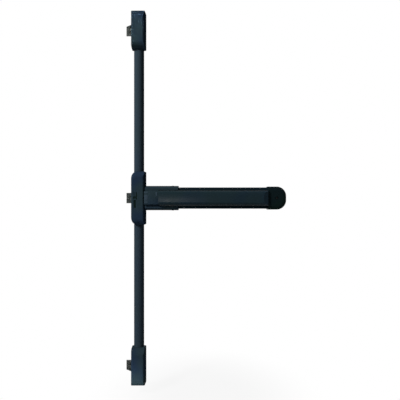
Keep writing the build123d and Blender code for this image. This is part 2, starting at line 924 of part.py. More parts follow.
def bracket_section(inset):
    """The bracket's bevelled section in (Y, Z)."""
    half = bracket_height / 2 - inset
    depth = bracket_depth - inset
    points = [
        (0, -half),
        (bracket_bevel_y - depth, -half),
        (-depth, bracket_bevel_z - half),
        (-depth, half - bracket_bevel_z),
        (bracket_bevel_y - depth, half),
        (0, half),
    ]
    radius = bracket_corner_radius - inset / 2
    return outline(points, [0, radius, radius, radius, radius, 0])


def rail_outer(grow):
    """The rail's outer section in (Y, Z)."""
    half = rail_height / 2 + grow
    depth = rail_depth + grow
    radius = rail_corner_radius + grow
    return outline([(0, -half), (-depth, -half), (-depth, half), (0, half)], [0, radius, radius, 0])


def bar_bracket():
    """The housing beside the centre case, closed round the rail by a collar and open for the pad."""
    shell = prism_x(bracket_section(0), bracket_start_x, bracket_end_x)
    shell = shell - prism_x(bracket_section(bracket_wall), bracket_start_x, bracket_end_x - bracket_collar)
    shell = shell - prism_x(rail_outer(seat_gap), bracket_end_x - bracket_collar, bracket_end_x)
    opening = block(
        bracket_opening_start,
        bracket_end_x + cut_past,
        -bracket_depth - cut_past,
        -rail_depth,
        -bracket_opening_height / 2,
        bracket_opening_height / 2,
    )
    return shell - opening


def front_block():
    """The raised cover on the bracket's face, between the case and the pad."""
    half = block_height / 2
    low_y = -bracket_depth - block_depth
    outer = block(block_start_x, block_end_x, low_y, -bracket_depth, -half, half)
    outer = fillet(outer.edges().filter_by(Axis.X).group_by(Axis.Y)[0], block_edge_radius)
    inner = block(
        block_start_x + block_wall,
        block_end_x - block_wall,
        low_y + block_wall,
        -bracket_depth,
        -half + block_wall,
        half - block_wall,
    )
    return outer - inner


def bar_base_plate():
    """The plate on the door under the bracket."""
    half = bar_plate_height / 2
    plate = block(bar_plate_start_x, bar_plate_end_x, -plate_thickness, 0, -half, half)
    for x in (bar_hole_near_x, bar_hole_far_x):
        for z in (-bar_hole_z, bar_hole_z):
            plate = plate - door_hole(x, z)
    return plate


def rail():
    """The rail: a channel with inturned lips, flat on the door."""
    inner_half = rail_height / 2 - rail_wall
    inner_depth = rail_depth - rail_wall
    inner_radius = rail_corner_radius - rail_wall
    inner = outline(
        [
            (-rail_wall, -inner_half),
            (-inner_depth, -inner_half),
            (-inner_depth, inner_half),
            (-rail_wall, inner_half),
        ],
        [0, inner_radius, inner_radius, 0],
    )
    body = prism_x(rail_outer(0) - inner, rail_start_x, rail_end_x)
    opening = block(
        rail_start_x - cut_past,
        rail_end_x + cut_past,
        -rail_depth - cut_past,
        -inner_depth + cut_past,
        -rail_opening / 2,
        rail_opening / 2,
    )
    body = body - opening
    for side in (-1, 1):
        z = side * (rail_height - rail_wall) / 2
        body = body - round_z(rail_screw_x, -rail_screw_rise, z - rail_wall, z + rail_wall, rail_screw_radius)
    return body


def rail_screws():
    """Two screws through the bracket's top and bottom into the rail."""
    made = []
    seat = bracket_height / 2
    for side in (-1, 1):
        tip = rail_height / 2 - rail_wall - rail_screw_tip
        shank = round_z(rail_screw_x, -rail_screw_rise, tip, seat, rail_screw_radius)
        head = round_z(
            rail_screw_x, -rail_screw_rise, seat, seat + rail_screw_head_height, rail_screw_head_radius
        )
        screw = head + shank
        made.append(screw if side > 0 else flip(screw))
    return made


def pad_face(inset):
    """The pad's section in (Y, Z): straight sides and a slightly crowned face."""
    half = pad_height / 2 - inset
    front = pad_front - inset
    edges = [
        Line((pad_back, -half), (pad_crown - front, -half)),
        ThreePointArc((pad_crown - front, -half), (-front, 0), (pad_crown - front, half)),
        Line((pad_crown - front, half), (pad_back, half)),
        Line((pad_back, half), (pad_back, -half)),
    ]
    face = make_face(edges)
    corners = [face.vertices().sort_by_distance((pad_crown - front, side * half))[0] for side in (-1, 1)]
    return fillet(corners, pad_corner_radius - inset)


def push_pad():
    """The push pad: a hollow bar with feet behind the rail's lips."""
    near = pad_height / 2 - pad_wall
    far = rail_opening / 2 + pad_foot_lip_cover
    body = prism_x(pad_face(0) - pad_face(pad_wall), pad_start_x, pad_end_x)
    for side in (-1, 1):
        low = min(side * near, side * far)
        high = max(side * near, side * far)
        body = body + block(pad_start_x, pad_end_x, pad_back, pad_back + pad_foot_thickness, low, high)
    return body


def pad_plug(x0, x1):
    """The part of an end piece that fits inside the pad."""
    return prism_x(pad_face(pad_wall + seat_gap) - pad_face(pad_wall + pad_end_wall), x0, x1)


def inner_pad_end():
    """The pad's inner end piece: a flange and its plug."""
    flange = prism_x(pad_face(0), pad_start_x - pad_inner_flange, pad_start_x)
    return flange + pad_plug(pad_start_x, pad_start_x + pad_end_plug)


def sloped_end(inset):
    """The outer end piece's form, or with an inset its hollow: the pad's section under a slope."""
    far = pad_end_x + pad_outer_length - inset
    front = pad_front - inset
    side = outline(
        [(pad_end_x, pad_back), (pad_end_x, -front), (far, pad_outer_drop - front), (far, pad_back)],
        [0, 0, max(pad_outer_radius - inset, 0), 0],
    )
    return prism_x(pad_face(inset), pad_end_x, far) & prism_z(side, -pad_height, pad_height)


def outer_pad_end():
    """The pad's outer end piece: its face slopes down towards the end cap."""
    shell = sloped_end(0) - sloped_end(pad_wall + pad_end_wall)
    return shell + pad_plug(pad_end_x - pad_end_plug, pad_end_x)


def pivot_bracket(x):
    """The bracket on the rail's back that carries a crank's pivot pin."""
    back = -rail_wall
    foot_front = back - pivot_foot_thickness
    bracket = block(
        x - pivot_foot_length / 2,
        x + pivot_foot_length / 2,
        foot_front,
        back,
        -pivot_foot_height / 2,
        pivot_foot_height / 2,
    )
    for side in (-1, 1):
        inside = side * pivot_ear_inside
        outside = side * (pivot_ear_inside + pivot_ear_thickness)
        ear = block(
            x - pivot_ear_width / 2,
            x + pivot_ear_width / 2,
            -pivot_rise - pivot_ear_tip,
            foot_front,
            min(inside, outside),
            max(inside, outside),
        )
        bracket = bracket + ear
    return bracket - round_z(x, -pivot_rise, -pivot_foot_height, pivot_foot_height, pivot_radius + shaft_gap)


def crank_points(x):
    """At rest: the pivot, the pad pin and the bar pin of a crank, in (X, Y)."""
    pivot = (x, -pivot_rise)
    pad_pin = (x - arm_reach_short, -pivot_rise - arm_rise)
    bar_pin = (x - arm_rise, -pivot_rise + arm_reach_short)
    return pivot, pad_pin, bar_pin


def crank(x):
    """A bell crank: hub and two arms at a right angle."""
    pivot, pad_pin, bar_pin = crank_points(x)
    body = round_z(*pivot, -crank_hub_half, crank_hub_half, crank_hub_radius)
    for pin in (pad_pin, bar_pin):
        arm = stadium(*pivot, *pin, crank_arm_radius)
        body = body + prism_z(arm, -crank_arm_half, crank_arm_half)
    hub_cut = crank_hub_half + cut_past
    arm_cut = crank_arm_half + cut_past
    body = body - round_z(*pivot, -hub_cut, hub_cut, pivot_radius + shaft_gap)
    for pin in (pad_pin, bar_pin):
        body = body - round_z(*pin, -arm_cut, arm_cut, crank_pin_radius)
    return body


def crank_pins(x):
    """The two pins pressed into a crank's arms."""
    pivot, pad_pin, bar_pin = crank_points(x)
    return [
        round_z(*pad_pin, -crank_pad_pin_half, crank_pad_pin_half, crank_pin_radius),
        round_z(*bar_pin, -crank_bar_pin_half, crank_bar_pin_half, crank_pin_radius),
    ]


def pivot_pin(x):
    """A crank's pivot pin, held in its bracket's ears."""
    return round_z(x, -pivot_rise, -pivot_half_length, pivot_half_length, pivot_radius)


def pad_bracket(x):
    """The folded bracket inside the pad whose slotted ears push a crank."""
    pin_y = -pivot_rise - arm_rise
    slot_far = x - crank_arm
    slot_near = x - arm_reach_short
    mid_x = (slot_far + slot_near) / 2
    base_front = -pad_front + pad_wall + pad_bracket_seat
    base_back = base_front + pad_bracket_thickness
    bracket = block(
        mid_x - pad_bracket_length / 2,
        mid_x + pad_bracket_length / 2,
        base_front,
        base_back,
        -pad_bracket_height / 2,
        pad_bracket_height / 2,
    )
    for side in (-1, 1):
        inside = side * pad_ear_inside
        outside = side * (pad_ear_inside + pad_ear_thickness)
        ear = block(
            mid_x - pad_ear_width / 2,
            mid_x + pad_ear_width / 2,
            base_back,
            pin_y + pad_ear_tip,
            min(inside, outside),
            max(inside, outside),
        )
        bracket = bracket + ear
    slot = stadium(slot_far, pin_y, slot_near, pin_y, crank_pin_radius + slot_gap)
    return bracket - prism_z(slot, -pad_bracket_height, pad_bracket_height)


def pull_bar():
    """The strip that both cranks pull, with a pair of slotted tabs at each."""
    half = pull_bar_height / 2
    back = -pull_bar_rise
    front = back - pull_bar_thickness
    last_tab = outer_pivot_x - arm_rise
    bar = block(pull_bar_start_x, last_tab + pull_bar_overrun, front, back, -half, half)
    near_y = -pivot_rise + arm_reach_short
    far_y = -pivot_rise + crank_arm
    for pivot_x in (inner_pivot_x, outer_pivot_x):
        tab_x = pivot_x - arm_rise
        for side in (-1, 1):
            inside = side * (half - bar_tab_thickness)
            outside = side * half
            tab = block(
                tab_x - bar_tab_width / 2,
                tab_x + bar_tab_width / 2,
                near_y - bar_tab_tip,
                back,
                min(inside, outside),
                max(inside, outside),
            )
            bar = bar + tab
        slot = stadium(tab_x, near_y, tab_x, far_y, crank_pin_radius + slot_gap)
        for side in (-1, 1):
            inside = side * (half - bar_tab_thickness - cut_past)
            outside = side * (half + cut_past)
            bar = bar - prism_z(slot, min(inside, outside), max(inside, outside))
    for x in rivet_places():
        bar = bar - round_y(x, 0, front - cut_past, back + cut_past, rivet_radius)
    return bar


def pad_spring_places():
    """The four places of the pad's springs, in (X, Z)."""
    return [(x, side * pad_spring_z) for x in (pad_spring_near_x, pad_spring_far_x) for side in (-1, 1)]


def pad_face_drop(z):
    """How far the pad's inner face has come back at a height from its middle."""
    half = pad_height / 2 - pad_wall
    corner = pad_corner_radius - pad_wall
    arc_radius = (half**2 + pad_crown**2) / (2 * pad_crown)
    crown_drop = arc_radius - math.sqrt(arc_radius**2 - z**2)
    return crown_drop + quarter_inset(corner, z - half + corner)


def pad_springs():
    """The springs between the rail's back and the pad's inner face."""
    reach = pad_spring_z + pad_spring_radius + pad_spring_wire
    face = pad_front - pad_wall - pad_face_drop(reach) - pad_spring_seat
    length = face - rail_wall
    spring = Rot(90, 0, 0) * coil(length, pad_spring_radius, pad_spring_wire, pad_spring_turns)
    return [Pos(x, -rail_wall, z) * spring for x, z in pad_spring_places()]


def spring_posts():
    """The posts on the rail's back that keep the pad's springs in place."""
    return [
        round_y(x, z, -rail_wall - post_height, -rail_wall, post_radius) for x, z in pad_spring_places()
    ]


def cap_body(inset):
    """The end cap's form, or with an inset its hollow: a rounded end and a rounded front rim."""
    half = cap_height / 2 - inset
    far = cap_end_x - inset
    corner = cap_corner_radius - inset
    front = outline(
        [(cap_start_x, -half), (far, -half), (far, half), (cap_start_x, half)],
        [0, corner, corner, 0],
    )
    body = prism_y(front, inset - cap_depth, 0)
    rim = body.faces().sort_by(Axis.Y)[0].edges()
    rim = [edge for edge in rim if edge.center().X > cap_start_x + cap_wall]
    return fillet(rim, cap_edge_radius - inset)


def end_cap():
    """The outer end cap: a dome with an end wall, a plug for the rail's channel and a screw boss."""
    boss = round_y(cap_screw_x, 0, -cap_depth, -cap_depth + cap_boss_depth, cap_boss_radius)
    cap = cap_body(0) - cap_body(cap_wall)
    wall_end = cap_start_x + cap_wall
    half = cap_height / 2 - cap_wall
    plug_half = rail_opening / 2 - seat_gap
    wall = block(cap_start_x, wall_end, -cap_depth + cap_wall, -rail_depth - seat_gap, -half, half)
    wall = wall & cap_body(0)
    plug = block(cap_start_x, wall_end, -rail_depth - cap_wall, -cap_plug_depth, -plug_half, plug_half)
    cap = cap + wall + plug + boss
    counterbore = round_y(
        cap_screw_x, 0, -cap_depth - cut_past, -cap_depth + cap_counterbore_depth, cap_counterbore_radius
    )
    hole_end = -cap_depth + cap_boss_depth + cut_past
    hole = round_y(cap_screw_x, 0, -cap_depth, hole_end, cap_screw_radius + seat_gap)
    return cap - counterbore - hole


def end_bracket():
    """The bracket under the end cap: plate on the door, tongue in the rail and a post for the cap's screw."""
    plate_start = rail_end_x + running_gap
    half = end_plate_height / 2
    plate = block(plate_start, end_plate_end_x, -plate_thickness, 0, -half, half)
    plate = plate & cap_body(cap_wall + plate_gap)
    tongue = block(
        end_tongue_start_x,
        plate_start + end_tongue_overlap,
        -rail_wall - plate_thickness,
        -rail_wall,
        -end_tongue_height / 2,
        end_tongue_height / 2,
    )
    post_top = -cap_depth + cap_boss_depth + seat_gap
    post = round_y(cap_screw_x, 0, post_top, -plate_thickness, end_post_radius)
    bracket = plate + tongue + post
    thread_end = -cap_depth + cap_counterbore_depth + cap_screw_length + cap_thread_run
    bracket = bracket - round_y(cap_screw_x, 0, post_top - cut_past, thread_end, cap_screw_radius + shaft_gap)
    for z in (-bar_end_hole_z, bar_end_hole_z):
        bracket = bracket - door_hole(bar_end_hole_x, z)
    return bracket


def end_cap_screw():
    """The cap's sunk screw, with a cross recess."""
    seat = -cap_depth + cap_counterbore_depth
    head_top = seat - cap_screw_head_height
    head = round_y(cap_screw_x, 0, head_top, seat, cap_screw_head_radius)
    shank = round_y(cap_screw_x, 0, seat, seat + cap_screw_length, cap_screw_radius)
    cross = head_top + cap_cross_depth
    arm = cap_cross_reach
    half = cap_cross_half
    level = block(cap_screw_x - arm, cap_screw_x + arm, head_top, cross, -half, half)
    upright = block(cap_screw_x - half, cap_screw_x + half, head_top, cross, -arm, arm)
    return head + shank - level - upright


def bracket_screw_holes(bracket):
    """Clearance holes for the rail screws in the bracket's top and bottom."""
    far = bracket_height / 2 + cut_past
    return bracket - round_z(rail_screw_x, -rail_screw_rise, -far, far, rail_screw_radius + shaft_gap)


def write_both(name, upper):
    """Writes a piece of the upper side, and its mirror image for the lower side."""
    solids = upper if isinstance(upper, list) else [upper]
    write(f"upper_{name}", *solids)
    write(f"lower_{name}", *[flip(solid) for solid in solids])


def write_centre():
    """The centre case and all that it holds."""
    write("centre_cover", centre_cover())
    plate = base_plate(
        -centre_case_half,
        centre_case_half,
        centre_corner_radius,
        (-centre_screw_z, centre_screw_z),
        centre_hole_x,
        (-centre_hole_z, centre_hole_z),
        0,
        centre_rod_mouths(),
    )
    write("centre_base_plate", plate)
    write("centre_latch_guide", latch_guide(centre_latch_height, 0))
    write("centre_latch_bolt", centre_latch())
    write("centre_latch_springs", *latch_springs(0))
    write("deadlatch_tongue", deadlatch_tongue())
    write("deadlatch_spring", deadlatch_spring())
    write("drive_slide", drive_slide())
    write("latch_drive_pin", latch_pin(latch_front + drive_pin_depth))


def write_ends():
    """The two end cases, the rods and the rod covers."""
    plate = base_plate(
        end_case_inner_z,
        end_case_z + end_case_half,
        case_corner_radius,
        (end_case_z - end_screw_z, end_case_z + end_screw_z),
        end_hole_x,
        (end_case_z - end_hole_z, end_case_z + end_hole_z),
        end_case_z,
        [end_rod_mouth()],
    )
    write_both("base_plate", plate)
    write_both("cover", end_cover())
    write_both("latch_guide", latch_guide(end_latch_height, end_case_z))
    write_both("latch_bolt", end_latch())
    write_both("latch_pin", Pos(0, 0, end_case_z) * latch_pin(latch_front + latch_pin_depth))
    write_both("latch_springs", latch_springs(end_case_z))
    write_both("rod", upper_rod())
    write_both("rod_block", rod_block())
    write_both("rod_pin", rod_pin())
    write_both("rod_head", rod_head())
    write_both("cam_plate", cam_plate())
    write_both("rod_cover", upper_rod_cover())
    write_both("rod_guides", rod_guides())


def write_bar():
    """The touch bar: bracket, rail, pad, cranks, pull bar and end cap."""
    write("bar_base_plate", bar_base_plate())
    write("bar_bracket", bracket_screw_holes(bar_bracket()))
    write("front_block", front_block())
    write("rail", rail())
    write("rail_screws", *rail_screws())
    write("push_pad", push_pad())
    write("inner_pad_end", inner_pad_end())
    write("outer_pad_end", outer_pad_end())
    write("pull_bar", pull_bar())
    write("pull_bar_rivets", *rivets())
    for name, x in (("inner", inner_pivot_x), ("outer", outer_pivot_x)):
        write(f"{name}_pad_bracket", pad_bracket(x))
        write(f"{name}_pivot_bracket", pivot_bracket(x))
        write(f"{name}_crank", crank(x))
        write(f"{name}_crank_pins", *crank_pins(x))
    write("crank_pivot_pins", pivot_pin(inner_pivot_x), pivot_pin(outer_pivot_x))
    write("pad_return_springs", *pad_springs())
    write("spring_posts", *spring_posts())
    write("end_bracket", end_bracket())
    write("end_cap", end_cap())
    write("end_cap_screw", end_cap_screw())


def main():
    os.makedirs("parts", exist_ok=True)
    write_centre()
    write_ends()
    write_bar()
    screw_zs = [side * centre_screw_z for side in (-1, 1)]
    screw_zs += [end_case_z + side * end_screw_z for side in (-1, 1)]
    screw_zs += [-end_case_z + side * end_screw_z for side in (-1, 1)]
    write("case_cover_screws", *[cover_screw(z) for z in screw_zs])


main()
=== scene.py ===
"""Looks of a three-point panic exit device: finishes, small detail pieces, light and camera.

Everything is in metres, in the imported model's own frame. The door's face is Y = 0 and the device stands on
its -Y side, X = 0 is the axis of the vertical rods and Z = 0 the bar's mid height.
"""

import json
import logging
import math
from dataclasses import dataclass
from enum import Enum
from typing import Callable

import bpy
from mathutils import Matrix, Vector


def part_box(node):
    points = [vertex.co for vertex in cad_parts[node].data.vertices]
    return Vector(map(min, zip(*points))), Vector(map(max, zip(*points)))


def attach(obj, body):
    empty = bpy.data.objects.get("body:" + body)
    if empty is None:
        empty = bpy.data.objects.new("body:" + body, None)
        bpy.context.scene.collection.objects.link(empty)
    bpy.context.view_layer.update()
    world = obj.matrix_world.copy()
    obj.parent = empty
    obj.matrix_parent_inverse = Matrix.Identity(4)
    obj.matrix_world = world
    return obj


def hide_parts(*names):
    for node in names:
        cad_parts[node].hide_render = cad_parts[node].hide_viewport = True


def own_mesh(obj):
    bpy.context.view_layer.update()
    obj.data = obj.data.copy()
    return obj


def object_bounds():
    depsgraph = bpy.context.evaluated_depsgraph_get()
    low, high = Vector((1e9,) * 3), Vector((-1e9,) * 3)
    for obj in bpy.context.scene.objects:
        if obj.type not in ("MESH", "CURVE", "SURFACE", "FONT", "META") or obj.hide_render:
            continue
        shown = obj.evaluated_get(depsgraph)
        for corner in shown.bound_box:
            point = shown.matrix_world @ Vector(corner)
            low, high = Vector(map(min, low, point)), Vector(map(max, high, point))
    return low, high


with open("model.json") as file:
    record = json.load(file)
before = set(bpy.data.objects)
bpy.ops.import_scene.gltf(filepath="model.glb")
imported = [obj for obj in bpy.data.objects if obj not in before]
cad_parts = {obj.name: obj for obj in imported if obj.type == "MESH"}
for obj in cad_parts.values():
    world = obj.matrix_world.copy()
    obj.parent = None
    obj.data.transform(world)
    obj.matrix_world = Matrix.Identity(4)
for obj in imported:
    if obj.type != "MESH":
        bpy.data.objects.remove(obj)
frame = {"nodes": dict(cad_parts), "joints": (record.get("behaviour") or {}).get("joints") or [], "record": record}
CAD_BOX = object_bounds()
LOG = logging.getLogger("exit_device")
Colour = tuple[float, float, float]
Point = tuple[float, float, float]
# The least cosine between a face's normal and a direction that the face counts as facing.
FACING = 0.9


class SocketKind(Enum):
    """The kinds of socket that the shared shader groups use."""

    NUMBER = "NodeSocketFloat"
    VECTOR = "NodeSocketVector"


class Element(Enum):
    """What is selected on a mesh."""

    FACE = "FACE"
    EDGE = "EDGE"


def wire(tree: bpy.types.NodeTree, *links: tuple[bpy.types.Node, str, bpy.types.Node, str | int]) -> None:
    """Links nodes: each link is a node, its output, the next node and that one's input, by name or number."""
    for giver, output, taker, socket in links:
        tree.links.new(giver.outputs[output], taker.inputs[socket])


class ShaderGroups:
    """The shader effects that several finishes share, each built once as a node group."""

    grain_detail = 3.0
    mottle_detail = 2.0
    noise_middle = 0.5
    line_detail = 4.0
    line_roughness = 0.65
    line_range = (0.3, 0.7)
    wear_scale = 260.0
    wear_detail = 3.0

    def __init__(self) -> None:
        """Builds every group."""
        self.grain = self.build_grain()
        self.mottle = self.build_mottle()
        self.brushed = self.build_brushed()
        self.rubbed = self.build_rubbed()

    @staticmethod
    def new_group(name: str, inputs: dict[str, tuple[SocketKind, float]], outputs: list[str]) -> bpy.types.NodeTree:
        """Makes a group with its sockets and its two end nodes.

        Args:
            name: The group's name.
            inputs: Each input's kind and starting value, by name.
            outputs: The names of the number outputs.

        Returns:
            The group's node tree.
        """
        tree = bpy.data.node_groups.new(name, "ShaderNodeTree")
        for label, (kind, value) in inputs.items():
            socket = tree.interface.new_socket(label, in_out="INPUT", socket_type=kind.value)
            if kind is SocketKind.NUMBER:
                socket.default_value = value
        for label in outputs:
            tree.interface.new_socket(label, in_out="OUTPUT", socket_type=SocketKind.NUMBER.value)
        tree.nodes.new("NodeGroupInput").name = "in"
        tree.nodes.new("NodeGroupOutput").name = "out"
        return tree

    def build_grain(self) -> bpy.types.NodeTree:
        """The small pebbled skin of powder coat and moulded plastic.

        Returns:
            A group from a place, a size and a detail share to a height.
        """
        tree = self.new_group(
            "fine_grain",
            {"Place": (SocketKind.VECTOR, 0.0), "Size": (SocketKind.NUMBER, 600.0), "Coarse": (SocketKind.NUMBER, 0.4)},
            ["Height"],
        )
        fine = tree.nodes.new("ShaderNodeTexNoise")
        fine.inputs["Detail"].default_value = self.grain_detail
        coarse = tree.nodes.new("ShaderNodeTexVoronoi")
        coarse.feature = "SMOOTH_F1"
        mix = tree.nodes.new("ShaderNodeMix")
        begin, end = tree.nodes["in"], tree.nodes["out"]
        wire(
            tree,
            (begin, "Place", fine, "Vector"),
            (begin, "Place", coarse, "Vector"),
            (begin, "Size", fine, "Scale"),
            (begin, "Size", coarse, "Scale"),
            (begin, "Coarse", mix, "Factor"),
            (fine, "Fac", mix, "A"),
            (coarse, "Distance", mix, "B"),
            (mix, "Result", end, "Height"),
        )
        return tree

    def build_mottle(self) -> bpy.types.NodeTree:
        """Slow patches over a surface, for tone, gloss and handling marks.

        Returns:
            A group from a place, a size and an edge softness to a mask from 0 to 1.
        """
        tree = self.new_group(
            "soft_mottle",
            {"Place": (SocketKind.VECTOR, 0.0), "Size": (SocketKind.NUMBER, 12.0), "Spread": (SocketKind.NUMBER, 0.2)},
            ["Mask"],
        )
        noise = tree.nodes.new("ShaderNodeTexNoise")
        noise.inputs["Detail"].default_value = self.mottle_detail
        low = tree.nodes.new("ShaderNodeMath")
        low.operation = "SUBTRACT"
        low.inputs[0].default_value = self.noise_middle
        high = tree.nodes.new("ShaderNodeMath")
        high.operation = "ADD"
        high.inputs[0].default_value = self.noise_middle
        ramp = tree.nodes.new("ShaderNodeMapRange")
        ramp.interpolation_type = "SMOOTHSTEP"
        begin, end = tree.nodes["in"], tree.nodes["out"]
        wire(
            tree,
            (begin, "Place", noise, "Vector"),
            (begin, "Size", noise, "Scale"),
            (begin, "Spread", low, 1),
            (begin, "Spread", high, 1),
            (noise, "Fac", ramp, "Value"),
            (low, "Value", ramp, "From Min"),
            (high, "Value", ramp, "From Max"),
            (ramp, "Result", end, "Mask"),
        )
        return tree

    def build_brushed(self) -> bpy.types.NodeTree:
        """Fine parallel lines, as grinding, drawing or rolling leaves them.

        Returns:
            A group from a stretched place to a height and a tone mask.
        """
        tree = self.new_group(
            "brush_lines",
            {"Place": (SocketKind.VECTOR, 0.0), "Size": (SocketKind.NUMBER, 1.0)},
            ["Height", "Mask"],
        )
        lines = tree.nodes.new("ShaderNodeTexNoise")
        lines.inputs["Detail"].default_value = self.line_detail
        lines.inputs["Roughness"].default_value = self.line_roughness
        ramp = tree.nodes.new("ShaderNodeMapRange")
        ramp.inputs["From Min"].default_value, ramp.inputs["From Max"].default_value = self.line_range
        begin, end = tree.nodes["in"], tree.nodes["out"]
        wire(
            tree,
            (begin, "Place", lines, "Vector"),
            (begin, "Size", lines, "Scale"),
            (lines, "Fac", ramp, "Value"),
            (lines, "Fac", end, "Height"),
            (ramp, "Result", end, "Mask"),
        )
        return tree

    def build_rubbed(self) -> bpy.types.NodeTree:
        """Rubbed metal where a piece is touched in use, with a broken edge.

        Returns:
            A group from a place, a start, an end and a breakup to a mask along X.
        """
        tree = self.new_group(
            "rubbed_end",
            {
                "Place": (SocketKind.VECTOR, 0.0),
                "Start": (SocketKind.NUMBER, 0.0),
                "End": (SocketKind.NUMBER, 1.0),
                "Breakup": (SocketKind.NUMBER, 0.01),
            },
            ["Mask"],
        )
        split = tree.nodes.new("ShaderNodeSeparateXYZ")
        noise = tree.nodes.new("ShaderNodeTexNoise")
        noise.inputs["Scale"].default_value = self.wear_scale
        noise.inputs["Detail"].default_value = self.wear_detail
        wobble = tree.nodes.new("ShaderNodeMath")
        wobble.operation = "MULTIPLY_ADD"
        ramp = tree.nodes.new("ShaderNodeMapRange")
        ramp.interpolation_type = "SMOOTHSTEP"
        begin, end = tree.nodes["in"], tree.nodes["out"]
        wire(
            tree,
            (begin, "Place", split, "Vector"),
            (begin, "Place", noise, "Vector"),
            (noise, "Fac", wobble, 0),
            (begin, "Breakup", wobble, 1),
            (split, "X", wobble, 2),
            (wobble, "Value", ramp, "Value"),
            (begin, "Start", ramp, "From Min"),
            (begin, "End", ramp, "From Max"),
            (ramp, "Result", end, "Mask"),
        )
        return tree


class Dresser:
    """Nodes of one material, wired round a Principled BSDF."""

    def __init__(self, name: str) -> None:
        """Starts a material.

        Args:
            name: The material's name.
        """
        self.material = bpy.data.materials.new(name)
        self.material.use_nodes = True
        self.tree = self.material.node_tree
        self.shader = self.tree.nodes["Principled BSDF"]
        self.place = self.tree.nodes.new("ShaderNodeTexCoord").outputs["Object"]

    def group(self, tree: bpy.types.NodeTree, place: bpy.types.NodeSocket, **values: float) -> bpy.types.Node:
        """Places a shared effect.

        Args:
            tree: The group.
            place: The coordinates that it reads.
            values: Its number inputs.

        Returns:
            The group's node.
        """
        node = self.tree.nodes.new("ShaderNodeGroup")
        node.node_tree = tree
        self.tree.links.new(place, node.inputs["Place"])
        for label, value in values.items():
            node.inputs[label].default_value = value
        return node

    def stretched(self, scale: Point) -> bpy.types.NodeSocket:
        """Object coordinates stretched along the axes.

        Args:
            scale: The factor on each axis.

        Returns:
            The stretched coordinates.
        """
        mapping = self.tree.nodes.new("ShaderNodeMapping")
        mapping.inputs["Scale"].default_value = scale
        self.tree.links.new(self.place, mapping.inputs["Vector"])
        return mapping.outputs["Vector"]

    def blend_colours(self, mask: bpy.types.NodeSocket, low: Colour, high: Colour) -> bpy.types.NodeSocket:
        """A colour that runs from low to high with a mask.

        Args:
            mask: The mask, from 0 to 1.
            low: The colour where the mask is 0.
            high: The colour where the mask is 1.

        Returns:
            The mixed colour.
        """
        mix = self.tree.nodes.new("ShaderNodeMix")
        mix.data_type = "RGBA"
        mix.inputs["A"].default_value = (*low, 1.0)
        mix.inputs["B"].default_value = (*high, 1.0)
        self.tree.links.new(mask, mix.inputs["Factor"])
        return mix.outputs["Result"]

    def lay_colour(self, mask: bpy.types.NodeSocket, under: bpy.types.NodeSocket, over: Colour) -> bpy.types.NodeSocket:
        """A colour laid over another one where a mask is high.

        Args:
            mask: The mask, from 0 to 1.
            under: The colour below.
            over: The colour on top.

        Returns:
            The mixed colour.
        """
        mix = self.tree.nodes.new("ShaderNodeMix")
        mix.data_type = "RGBA"
        mix.inputs["B"].default_value = (*over, 1.0)
        self.tree.links.new(mask, mix.inputs["Factor"])
        self.tree.links.new(under, mix.inputs["A"])
        return mix.outputs["Result"]

    def vary(self, mask: bpy.types.NodeSocket, socket: str, low: float, high: float) -> None:
        """Runs a shader socket from low to high with a mask.

        Args:
            mask: The mask, from 0 to 1.
            socket: The shader socket's name.
            low: Its value where the mask is 0.
            high: Its value where the mask is 1.
        """
        ramp = self.tree.nodes.new("ShaderNodeMapRange")
        ramp.inputs["To Min"].default_value = low
        ramp.inputs["To Max"].default_value = high
        self.tree.links.new(mask, ramp.inputs["Value"])
        self.tree.links.new(ramp.outputs["Result"], self.shader.inputs[socket])

    def bump(self, height: bpy.types.NodeSocket, distance: float, strength: float) -> None:
        """Gives the surface relief.

        Args:
            height: The relief's height.
            distance: How deep it is, in metres.
            strength: How much of it shows.
        """
        node = self.tree.nodes.new("ShaderNodeBump")
        node.inputs["Distance"].default_value = distance
        node.inputs["Strength"].default_value = strength
        self.tree.links.new(height, node.inputs["Height"])
        self.tree.links.new(node.outputs["Normal"], self.shader.inputs["Normal"])


@dataclass(frozen=True)
class Coating:
    """A coloured skin over metal, or a moulded plastic."""

    name: str
    colour: Colour
    second: Colour
    roughness: tuple[float, float]
    specular: float
    grain_size: float
    grain_depth: float
    coarse: float = 0.35
    patch_size: float = 9.0
    patch_spread: float = 0.16
    gloss_patch_size: float = 26.0
    gloss_patch_spread: float = 0.22
    relief: float = 0.6

    def make(self, groups: ShaderGroups) -> bpy.types.Material:
        """Builds the material.

        Args:
            groups: The shared shader effects.

        Returns:
            The material.
        """
        dresser = Dresser(self.name)
        patches = dresser.group(groups.mottle, dresser.place, Size=self.patch_size, Spread=self.patch_spread)
        gloss = dresser.group(
            groups.mottle, dresser.place, Size=self.gloss_patch_size, Spread=self.gloss_patch_spread
        )
        grain = dresser.group(groups.grain, dresser.place, Size=self.grain_size, Coarse=self.coarse)
        colour = dresser.blend_colours(patches.outputs["Mask"], self.colour, self.second)
        dresser.tree.links.new(colour, dresser.shader.inputs["Base Color"])
        dresser.vary(gloss.outputs["Mask"], "Roughness", *self.roughness)
        dresser.shader.inputs["Specular IOR Level"].default_value = self.specular
        dresser.bump(grain.outputs["Height"], self.grain_depth, self.relief)
        return dresser.material


